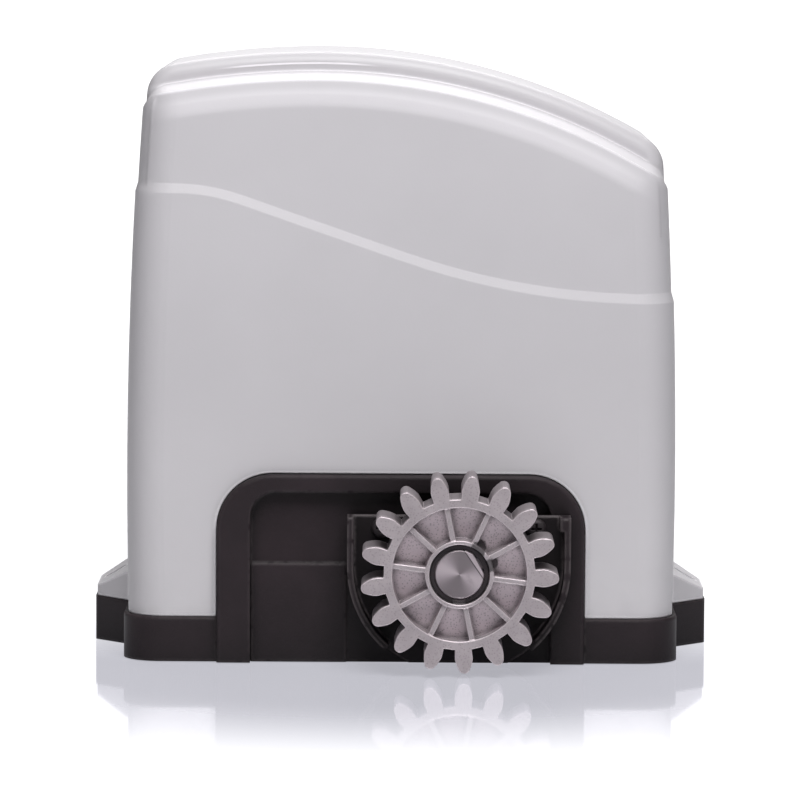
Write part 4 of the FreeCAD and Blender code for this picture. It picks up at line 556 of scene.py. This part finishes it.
def black_plastic(name, colours, size, wear_and_light, worn_highlight_by):
    """Grained black moulding with settled dust, pale edges of rub wear and painted highlight, and painted
    shade in the recess, hollows and corners.
    """
    look = Finish(name)
    x, y, _ = look.parts(look.place)
    normal, edge = look.soft_edges(size.black_edge, low=0.005, high=0.06)
    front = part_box("base_housing")[0].y
    # Painted shade darkens the recess behind the pinion.
    recess = y.ramp(front + size.recess_start, front + size.recess_full)
    recess = recess * abs(x).ramp(size.recess_half + size.recess_fade, size.recess_half)
    recess = recess * y.ramp(size.recess_end, size.recess_back)
    up = look.parts(look.facing)[2].ramp(0.3, 0.95)
    grain = look.cells(size.grain) * 0.7 + look.noise(size.grain * 0.6) * 0.3
    broad = look.noise(0.03, detail=4.0)
    dust = up * broad.ramp(0.3, 0.7)
    # Pale edges: rub wear and painted highlight.
    rub_highlight = edge * look.noise(0.004, detail=3.0).ramp(0.3, 0.5)
    tone = look.mottled(broad, colours.black, dark=0.8, light=1.15)
    tone = look.mix(dust * wear_and_light.black_dust, tone, shade(colours.black, 3.0))
    tone = look.mix(recess * wear_and_light.recess, tone, colours.recess)
    # Painted shade deep in hollows.
    tone = look.mix(look.crevice_shade(0.04) * wear_and_light.hollows, tone, shade(colours.black, 0.12))
    # Painted shade in corners and narrow gaps.
    tone = look.mix(look.crevice_shade(0.006) * wear_and_light.black_gap_shade, tone, shade(colours.black, 0.25))
    tone = look.mix(rub_highlight * worn_highlight_by, tone, colours.worn_highlight)
    rough = 0.46 + 0.16 * broad + 0.12 * up
    return look.close(Base_Color=tone, Roughness=rough, IOR=1.3,
                      Normal=look.bump(grain, depth=0.00012, strength=0.5, normal=normal))


def blasted_casting(colours, size, wear_and_light):
    """Pinion: blasted casting with pits, painted light on the pocket floors, painted shade on the flanks,
    in corners and in chips, and painted highlights on the edges.
    """
    look = Finish("blasted_casting")
    across, up, radius = look.round_axis("drive_pinion")
    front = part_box("drive_pinion")[0].y
    deep = look.parts(look.place)[1].ramp(front + size.face_depth, front + size.pocket_depth)
    pocket = radius.ramp(size.pocket_out + size.pocket_rim, size.pocket_out)
    # Chips beside the flat: dents in the bump with painted shade in them.
    chips = look.spot(across, up, *CHIPS[0]).larger(look.spot(across, up, *CHIPS[1]))
    normal, edge = look.soft_edges(size.cast_edge, low=0.005, high=0.12)
    pits = look.cells(size.pit).ramp(0.42, 0.12)
    skin = look.noise(size.pit * 0.7, detail=3.0)
    broad = look.noise(0.014, detail=4.0, rough=0.6)
    tone = look.mottled(broad, colours.pinion, dark=0.9, light=1.06)
    # Painted light on the pocket floors.
    tone = look.mix(deep * pocket * wear_and_light.pockets, tone, shade(colours.pinion, 2.0))
    # Painted shade on the deep tooth flanks.
    tone = look.mix(deep * (1.0 - pocket) * wear_and_light.flanks, tone, shade(colours.pinion, 0.6))
    tone = look.mix(pits * wear_and_light.pits, tone, shade(colours.pinion, 0.5))
    # Painted shade in the pinion's corners.
    tone = look.mix(look.crevice_shade(0.0035) * wear_and_light.pinion_gap_shade, tone, shade(colours.pinion, 0.2))
    # Painted highlight on the pinion's edges.
    tone = look.mix(edge * wear_and_light.pinion_edge_highlight, tone, shade(colours.pinion, 1.9))
    tone = look.mix(chips * wear_and_light.chips, tone, shade(colours.pinion, 0.14))
    rough = 0.46 + 0.2 * skin - 0.1 * edge
    height = skin * 0.6 - pits * 0.8 - chips * 3.0
    return look.close(Base_Color=tone, Metallic=0.55, Roughness=rough,
                      Normal=look.bump(height, depth=0.00015, strength=0.5, normal=normal))


def turned_shaft(colours, size, wear_and_light):
    """Shaft end: fine turning marks with painted highlight in fans, painted light on a flat and painted
    shade along the flat's edge.
    """
    look = Finish("turned_shaft")
    across, up, radius = look.round_axis("output_shaft")
    normal, edge = look.soft_edges(size.soft_edge)
    heading = across.math("ARCTAN2", up, across)
    # Painted highlight: fans standing for light caught by the turning marks.
    fan = heading.math("COSINE", heading * 2.0 + 0.7) * 0.5 + 0.5
    rings = look.add("ShaderNodeTexNoise", {"noise_dimensions": "1D"},
                     {"W": radius * TURNING_MARKS_PER_METRE, "Detail": 3.0, "Scale": 1.0})
    stain = look.noise(0.006, detail=4.0, rough=0.6)
    outward = across * math.cos(size.flat_angle) + up * math.sin(size.flat_angle)
    # Painted light on the flat, and a line of painted shade along its edge.
    flat = outward.ramp(size.flat_out, size.flat_out + size.flat_line)
    line = band(outward, size.flat_out, size.flat_line, 2.0 * size.flat_line)
    tone = look.mix(fan ** 2.0 * wear_and_light.shaft_fans, shade(colours.shaft, 0.5), shade(colours.shaft, 1.35))
    tone = look.mix(stain.ramp(0.5, 0.75) * wear_and_light.shaft_stains, tone, shade(colours.shaft, 0.45))
    tone = look.mix(flat * wear_and_light.shaft_flat, tone, shade(colours.shaft, 1.25))
    tone = look.mix(line * wear_and_light.shaft_line, tone, shade(colours.shaft, 0.12))
    tone = look.mix(edge * wear_and_light.shaft_edges, tone, shade(colours.shaft, 1.6))
    rough = 0.24 + 0.18 * rings + 0.1 * stain
    return look.close(Base_Color=tone, Metallic=0.9, Roughness=rough,
                      Normal=look.bump(rings, depth=0.00003, strength=0.6, normal=normal))


def bare_metal(name, colour, size, rough, grain=(1.0, 1.0, 1.0), stain_by=0.5, metallic=1.0):
    """Plain metal with drawn or turned grain, light staining and bright edges."""
    look = Finish(name)
    normal, edge = look.soft_edges(size.soft_edge * 0.5)
    drawn = look.noise(0.0006, detail=3.0, rough=0.6, place=look.stretched(grain))
    stain = look.noise(0.009, detail=4.0, rough=0.6)
    tone = look.mix(stain.ramp(0.4, 0.8) * stain_by, colour, shade(colour, 0.6))
    tone = look.mix(edge * 0.4, tone, shade(colour, 1.3))
    return look.close(Base_Color=tone, Metallic=metallic, Roughness=rough + 0.16 * drawn + 0.1 * stain,
                      Normal=look.bump(drawn, depth=0.00004, strength=0.5, normal=normal))


def sand_casting(colours, size):
    """Gearbox and motor castings: coarse skin, machined edges."""
    look = Finish("sand_casting")
    normal, edge = look.soft_edges(size.cast_edge)
    skin = look.noise(0.0016, detail=4.0, rough=0.65)
    tone = look.mottled(look.noise(0.03, detail=3.0), colours.casting, dark=0.85, light=1.0)
    tone = look.mix(edge * 0.5, tone, shade(colours.casting, 1.25))
    return look.close(Base_Color=tone, Metallic=0.8, Roughness=0.42 + 0.25 * skin,
                      Normal=look.bump(skin, depth=0.0003, strength=0.6, normal=normal))


def stacked_sheet(colours, size):
    """Stator and rotor stacks: fine lines across the shaft."""
    look = Finish("stacked_sheet")
    x = look.parts(look.place)[0]
    sheets = x.math("PINGPONG", x, size.sheet) * (1.0 / size.sheet)
    tone = look.mix(sheets.ramp(0.1, 0.5), shade(colours.lamination, 0.45), colours.lamination)
    return look.close(Base_Color=tone, Metallic=0.8, Roughness=0.4 + 0.2 * look.noise(0.004),
                      Normal=look.bump(sheets, depth=0.00015, strength=0.7))


def wound_wire(colours, size):
    """Windings: enamelled turns round the shaft."""
    look = Finish("wound_wire")
    x = look.parts(look.place)[0]
    _, _, radius = look.round_axis("stator_windings", first=1, second=2)
    wander = look.noise(0.006) * 0.0012
    turns = radius.math("PINGPONG", radius + x * 0.7 + wander, size.winding_wire)
    turns = turns * (1.0 / size.winding_wire)
    tone = look.mix(turns.ramp(0.0, 0.6), shade(colours.copper, 0.4), colours.copper)
    return look.close(Base_Color=tone, Metallic=0.5, Roughness=0.3 + 0.15 * turns, Coat_Weight=0.4,
                      Normal=look.bump(turns, depth=0.0003, strength=0.8))


def printed_board(colours):
    """Control board: solder mask over faint copper tracks."""
    look = Finish("printed_board")
    tracks = look.cells(0.006, "DISTANCE_TO_EDGE", look.stretched((1.0, 0.05, 0.6)))
    lines = tracks.ramp(0.09, 0.05)
    speck = look.noise(0.003, detail=3.0)
    tone = look.mix(lines, colours.board, shade(colours.board, 1.7))
    tone = look.mix(speck.ramp(0.5, 0.8) * 0.2, tone, shade(colours.board, 0.6))
    return look.close(Base_Color=tone, Roughness=0.28 + 0.12 * speck,
                      Normal=look.bump(lines, depth=0.00004, strength=0.6))


def moulded_part(name, colour, size, rough):
    """Small moulded parts: fine grain and rubbed edges."""
    look = Finish(name)
    normal, edge = look.soft_edges(size.soft_edge * 0.6)
    grain = look.noise(0.0008)
    broad = look.noise(0.02, detail=3.0)
    tone = look.mottled(broad, colour, dark=0.88, light=1.06)
    tone = look.mix(edge * 0.4, tone, shade(colour, 1.4))
    return look.close(Base_Color=tone, Roughness=rough + 0.15 * broad,
                      Normal=look.bump(grain, depth=0.00008, strength=0.5, normal=normal))


def soft_rubber(colours):
    """Seal and grommet: dull, dusty rubber."""
    look = Finish("soft_rubber")
    dust = look.noise(0.005, detail=4.0, rough=0.65)
    tone = look.mix(dust.ramp(0.45, 0.8) * 0.4, colours.rubber, shade(colours.rubber, 4.0))
    return look.close(Base_Color=tone, Roughness=0.7 + 0.2 * dust,
                      Normal=look.bump(look.noise(0.001), depth=0.0001, strength=0.5))


def clear_tube(colours, size):
    """Fuse: clear tube with metal caps."""
    look = Finish("clear_tube")
    x = look.parts(look.place)[0]
    low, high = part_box("fuse")
    caps = abs(x - (low.x + high.x) / 2).ramp(size.fuse_clear, size.fuse_clear + size.fuse_cap)
    tone = look.mix(caps, colours.glass, colours.zinc)
    return look.close(Base_Color=tone, Metallic=caps, Roughness=0.12 + 0.2 * look.noise(0.002))


# Screws

def pan_screw(bm, size, seat, shank):
    """A pan-head screw with a cross recess, its head's seat brought to a place."""
    before = set(bm.verts)
    head = size.screw_head
    high = size.screw_height
    stem = size.screw_shank
    point = [(0.0, -shank), (0.4 * stem, stem - shank), (stem, 2.2 * stem - shank), (stem, 0.0)]
    crown = [(head, 0.0), (head, 0.35 * high), (0.95 * head, 0.62 * high), (0.82 * head, 0.84 * high),
             (0.64 * head, 0.97 * high)]
    profile = [bm.verts.new((radius, 0.0, level)) for radius, level in point + crown]
    edges = [bm.edges.new(pair) for pair in zip(profile, profile[1:])]
    bmesh.ops.spin(bm, geom=profile + edges, axis=(0.0, 0.0, 1.0), cent=(0.0, 0.0, 0.0),
                   angle=2 * math.pi, steps=size.screw_steps, use_merge=True)
    bmesh.ops.remove_doubles(bm, verts=bm.verts, dist=MERGE)
    rim = [edge for edge in bm.edges if edge.is_boundary]
    mouth = cross_recess(bm, size, high)
    bmesh.ops.triangle_fill(bm, edges=rim + mouth, use_beauty=True, normal=(0.0, 0.0, 1.0))
    made = [vert for vert in bm.verts if vert not in before]
    bmesh.ops.transform(bm, matrix=seat, verts=made)


def cross_recess(bm, size, high):
    """The walls and floor of a cross recess; gives the edges of its mouth."""
    arm = size.drive_arm
    half = size.drive_width
    plan = []
    for quarter in range(4):
        turn = Matrix.Rotation(quarter * math.pi / 2, 2)
        plan += [turn @ Vector(corner) for corner in ((arm, -half), (arm, half), (half, half))]
    corners = [bm.verts.new((point.x, point.y, high)) for point in plan]
    mouth = [bm.edges.new((corner, corners[k - 1])) for k, corner in enumerate(corners)]
    walls = bmesh.ops.extrude_edge_only(bm, edges=mouth)["geom"]
    floor = [item for item in walls if isinstance(item, bmesh.types.BMVert)]
    for vert in floor:
        vert.co = (vert.co.x * size.drive_taper, vert.co.y * size.drive_taper, high - size.drive_depth)
    bmesh.ops.contextual_create(bm, geom=[item for item in walls if isinstance(item, bmesh.types.BMEdge)
                                          and all(vert in floor for vert in item.verts)])
    return mouth


# Operators

class GATEMOTOR_OT_cover(Operator):
    """Finish the cover"""

    bl_idname = "gate_motor.cover"
    bl_label = "Cover"

    def execute(self, context):
        dress(moulded_cover(looks(context), sizes(context), wear_and_light_of(context)), "cover")
        return {"FINISHED"}


class GATEMOTOR_OT_base(Operator):
    """Finish the base, the gear guard and the release housing"""

    bl_idname = "gate_motor.base"
    bl_label = "Base and guard"

    def execute(self, context):
        colours = looks(context)
        size = sizes(context)
        wear_and_light = wear_and_light_of(context)
        housing = black_plastic("black_housing", colours, size, wear_and_light, wear_and_light.housing_edge_highlight)
        dress(housing, "base_housing", "release_housing")
        dress(black_plastic("black_guard", colours, size, wear_and_light, wear_and_light.guard_edge_highlight), "gear_guard")
        return {"FINISHED"}


class GATEMOTOR_OT_pinion(Operator):
    """Finish the pinion, its shaft and its rings"""

    bl_idname = "gate_motor.pinion"
    bl_label = "Pinion and shaft"

    def execute(self, context):
        colours = looks(context)
        size = sizes(context)
        wear_and_light = wear_and_light_of(context)
        dress(blasted_casting(colours, size, wear_and_light), "drive_pinion")
        dress(turned_shaft(colours, size, wear_and_light), "output_shaft")
        ring = bare_metal("oiled_ring", colours.oxide, size, rough=0.4, stain_by=0.6, metallic=0.6)
        dress(ring, "pinion_retaining_rings")
        return {"FINISHED"}


class GATEMOTOR_OT_drive(Operator):
    """Finish the worm drive, the clutch, the bearings and the gearbox"""

    bl_idname = "gate_motor.drive"
    bl_label = "Worm drive"

    def execute(self, context):
        colours = looks(context)
        size = sizes(context)
        ground = bare_metal("ground_steel", colours.steel, size, rough=0.22, grain=(0.2, 1.0, 1.0))
        dress(ground, "worm_shaft", "clutch_sleeve", "clutch_pin", "push_rod", "lever_pin")
        self.wind_spring(ground, size)
        race = bare_metal("polished_race", colours.steel, size, rough=0.14, grain=(0.3, 0.3, 1.0),
                          stain_by=0.25)
        for seat in ("front", "rear", "worm", "end", "tail"):
            dress(race, seat + "_bearing_outer", seat + "_bearing_inner")
        bronze = bare_metal("cut_bronze", colours.bronze, size, rough=0.3, grain=(1.0, 0.2, 1.0))
        dress(bronze, "worm_wheel", "wheel_bush")
        dress(sand_casting(colours, size), "gearbox_body", "gearbox_cover", "worm_cap",
              "motor_front_shield", "motor_rear_shield", "rotor_cage")
        dress(soft_rubber(colours), "shaft_seal", "cable_grommet")
        return {"FINISHED"}

    def wind_spring(self, material, size):
        """The clutch spring, wound as a coil of wire that rides on the output body."""
        low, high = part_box("clutch_spring")
        middle = (low + high) / 2
        wire = size.spring_wire
        bm = bmesh.new()
        start = Matrix.Translation((high.x - wire, low.y + wire, middle.z))
        bmesh.ops.create_circle(bm, cap_ends=True, segments=size.spring_sides, radius=wire, matrix=start)
        section = bm.verts[:] + bm.edges[:] + bm.faces[:]
        steps = size.spring_steps * size.spring_turns
        tall = high.y - low.y
        bmesh.ops.spin(bm, geom=section, cent=middle, axis=(0.0, 1.0, 0.0),
                       dvec=(0.0, (tall - 2 * wire) / steps, 0.0),
                       angle=2 * math.pi * size.spring_turns, steps=steps)
        piece = settle(bm, "clutch_coil", material, "output", "clutch_spring", size.spring_sharp)
        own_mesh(piece)


class GATEMOTOR_OT_motor(Operator):
    """Finish the motor's stacks and windings"""

    bl_idname = "gate_motor.motor"
    bl_label = "Motor"

    def execute(self, context):
        colours = looks(context)
        size = sizes(context)
        dress(stacked_sheet(colours, size), "stator_core", "rotor_core")
        dress(wound_wire(colours, size), "stator_windings")
        return {"FINISHED"}


class GATEMOTOR_OT_screws(Operator):
    """Finish the bolts inside, and make the screws of the cover's ears and of the guard"""

    bl_idname = "gate_motor.screws"
    bl_label = "Bolts and screws"

    def execute(self, context):
        colours = looks(context)
        size = sizes(context)
        plated = bare_metal("plated_screws", colours.zinc, size, rough=0.24, stain_by=0.3)
        blacked = bare_metal("blacked_screws", colours.oxide, size, rough=0.45, stain_by=0.4,
                             metallic=0.4)
        dress(plated, "motor_tie_bolts", "gearbox_bolts", "gearbox_cover_screws", "carrier_screws",
              "board_screws")
        self.cover_screws(plated, size)
        self.guard_screws(blacked, size)
        return {"FINISHED"}

    def cover_screws(self, material, size):
        """Upright screws in the wells of the cover's ears."""
        low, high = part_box("cover_screws")
        bm = bmesh.new()
        for across in (low.x + size.screw_head, high.x - size.screw_head):
            seat = Matrix.Translation((across, (low.y + high.y) / 2, high.z - size.screw_height))
            pan_screw(bm, size, seat, high.z - size.screw_height - low.z)
        settle(bm, "cover_pan_screws", material, "housing", "cover_screws",
               size.screw_sharp)

    def guard_screws(self, material, size):
        """Level screws that hold the guard from the front."""
        low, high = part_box("guard_screws")
        bm = bmesh.new()
        face = Matrix.Rotation(math.pi / 2, 4, "X")
        for across in (low.x + size.screw_head, high.x - size.screw_head):
            seat = Matrix.Translation((across, low.y + size.screw_height, (low.z + high.z) / 2)) @ face
            pan_screw(bm, size, seat, high.y - low.y - size.screw_height)
        settle(bm, "guard_pan_screws", material, "housing", "guard_screws",
               size.screw_sharp)


class GATEMOTOR_OT_electrics(Operator):
    """Finish the control board and what is on it"""

    bl_idname = "gate_motor.electrics"
    bl_label = "Electrics"

    def execute(self, context):
        colours = looks(context)
        size = sizes(context)
        dress(printed_board(colours), "control_board")
        dark = moulded_part("dark_parts", colours.dark_part, size, rough=0.45)
        dress(dark, "transformer", "terminal_block", "button_base", "limit_sensor")
        light = moulded_part("light_parts", colours.light_part, size, rough=0.4)
        dress(light, "board_carrier", "relays", "learn_button", "capacitor", "capacitor_clip")
        dress(clear_tube(colours, size), "fuse")
        return {"FINISHED"}


class GATEMOTOR_OT_release(Operator):
    """Finish the release lever and its key cylinder"""

    bl_idname = "gate_motor.release"
    bl_label = "Manual release"

    def execute(self, context):
        colours = looks(context)
        size = sizes(context)
        dress(moulded_part("lever_plastic", colours.lever, size, rough=0.42), "release_lever")
        plated = bare_metal("plated_lock", colours.lock, size, rough=0.12, grain=(1.0, 0.2, 1.0),
                            stain_by=0.2)
        dress(plated, "lock_cylinder")
        return {"FINISHED"}


class GATEMOTOR_OT_stage(Operator):
    """Set up floor, light and camera"""

    bl_idname = "gate_motor.stage"
    bl_label = "Stage"

    def execute(self, context):
        stage = context.scene.gate_motor_stage
        self.lay_floor(context, stage)
        self.light_room(context, stage)
        self.hang_lamps(context, stage)
        self.place_camera(context, stage)
        context.scene.view_settings.view_transform = "Standard"
        return {"FINISHED"}

    def lay_floor(self, context, stage):
        bm = bmesh.new()
        bmesh.ops.create_circle(bm, cap_ends=True, segments=stage.floor_steps, radius=stage.floor_radius)
        bmesh.ops.translate(bm, verts=bm.verts, vec=(0.0, 0.0, -stage.floor_drop))
        mesh = bpy.data.meshes.new("studio_floor")
        bm.to_mesh(mesh)
        bm.free()
        floor = bpy.data.objects.new("studio_floor", mesh)
        context.scene.collection.objects.link(floor)
        mesh.materials.append(self.floor_finish(looks(context).floor, stage))

    def floor_finish(self, colour, stage):
        """Matt floor that the camera sees as pale, with a mirror image close to the object; near it the
        glow has a painted cool tint of reflection and shadow.
        """
        look = Finish("studio_floor")
        direct, bent = look.sight()
        x, y, _ = look.parts(look.place)
        away = distance(x, y)
        near = away.ramp(stage.mirror_end, stage.mirror_start)
        near = near * y.ramp(stage.mirror_back, -stage.mirror_back)
        pale = stage.floor_glow + stage.far_glow * away.ramp(stage.far_start, stage.far_end)
        matt = look.add("ShaderNodeBsdfDiffuse", values={"Color": tuple(colour) + (1.0,)})
        # Near the object the glow takes a painted cool tint of reflection and shadow.
        glow = look.add("ShaderNodeEmission", values={
            "Color": look.mix(near, WHITE, stage.floor_tint), "Strength": (direct + bent) * pale})
        base = look.add("ShaderNodeAddShader", values={0: matt, 1: glow})
        gloss = look.add("ShaderNodeBsdfGlossy", values={"Color": WHITE, "Roughness": stage.mirror_rough})
        both = look.add("ShaderNodeMixShader", values={0: near * stage.mirror, 1: base, 2: gloss})
        look.add("ShaderNodeOutputMaterial", values={"Surface": both})
        return look.material

    def light_room(self, context, stage):
        """White to the camera, a white card and dark flags in reflections, dim light all round."""
        world = bpy.data.worlds.new("studio")
        context.scene.world = world
        world.use_nodes = True
        sky = Tree(world.node_tree)
        direct, bent = sky.sight()
        aside, behind, _ = sky.parts(sky.add("ShaderNodeTexCoord", out=0))
        card = aside.ramp(stage.card_left - stage.card_left_fade, stage.card_left)
        card = card * aside.ramp(stage.card_right + stage.card_right_fade, stage.card_right)
        card = card * behind.ramp(stage.card_behind - stage.card_behind_fade, stage.card_behind)
        mirrored = card * (1.0 - stage.flags) + stage.flags
        strength = direct + bent * mirrored + (1.0 - direct - bent) * stage.ambient
        light = sky.add("ShaderNodeBackground", values={"Color": WHITE, "Strength": strength})
        sky.add("ShaderNodeOutputWorld", values={"Surface": light})

    def hang_lamps(self, context, stage):
        self.lamp(context, "key_lamp", stage.key_lamp, place=(0.1, -0.86, 1.4), target=(0.0, -0.05, 0.12),
                  spread=(0.9, 0.8))
        self.lamp(context, "back_lamp", stage.back_lamp, place=(0.0, 1.0, 1.4), target=(0.0, 0.0, 0.15),
                  spread=(1.4, 0.6))

    def lamp(self, context, name, power, place, target, spread):
        light = bpy.data.lights.new(name, "AREA")
        light.shape = "RECTANGLE"
        light.size, light.size_y = spread
        light.energy = power
        holder = bpy.data.objects.new(name, light)
        aim = (Vector(target) - Vector(place)).to_track_quat("-Z", "Y")
        holder.matrix_world = Matrix.Translation(place) @ aim.to_matrix().to_4x4()
        context.scene.collection.objects.link(holder)

    def place_camera(self, context, stage):
        lens = bpy.data.cameras.new("camera")
        lens.sensor_width = FILM_WIDTH
        lens.lens = stage.lens
        lens.clip_end = FAR_CLIP
        camera = bpy.data.objects.new("camera", lens)
        place = Matrix.Translation((stage.camera_x, -stage.camera_y, stage.camera_z))
        aim = Matrix.Rotation(math.pi / 2 - stage.tilt, 4, "X") @ Matrix.Rotation(stage.roll, 4, "Z")
        camera.matrix_world = place @ aim
        context.scene.collection.objects.link(camera)
        context.scene.camera = camera


class GATEMOTOR_PT_panel(Panel):
    """Everything that this script makes"""

    bl_label = "Gate motor"
    bl_space_type = "VIEW_3D"
    bl_region_type = "UI"
    bl_category = "Gate motor"

    def draw(self, context):
        for operator in OPERATORS:
            self.layout.operator(operator.bl_idname)
        for held_as in GROUPS:
            group = getattr(context.scene, held_as)
            for name in group.__annotations__:
                self.layout.prop(group, name)


OPERATORS = (
    GATEMOTOR_OT_cover, GATEMOTOR_OT_base, GATEMOTOR_OT_pinion, GATEMOTOR_OT_drive, GATEMOTOR_OT_motor,
    GATEMOTOR_OT_screws, GATEMOTOR_OT_electrics, GATEMOTOR_OT_release, GATEMOTOR_OT_stage,
)
GROUPS = {
    "gate_motor_colours": GateMotorColours,
    "gate_motor_sizes": GateMotorSizes,
    "gate_motor_wear": GateMotorWearAndLight,
    "gate_motor_stage": GateMotorStage,
}


def register():
    for name, group in GROUPS.items():
        bpy.utils.register_class(group)
        setattr(bpy.types.Scene, name, PointerProperty(type=group))
    for operator in OPERATORS:
        bpy.utils.register_class(operator)
    bpy.utils.register_class(GATEMOTOR_PT_panel)


def unregister():
    bpy.utils.unregister_class(GATEMOTOR_PT_panel)
    for operator in reversed(OPERATORS):
        bpy.utils.unregister_class(operator)
    for name, group in GROUPS.items():
        delattr(bpy.types.Scene, name)
        bpy.utils.unregister_class(group)


def main():
    register()
    for operator in OPERATORS:
        family, name = operator.bl_idname.split(".")
        getattr(getattr(bpy.ops, family), name)()


if __name__ == "__main__":
    main()
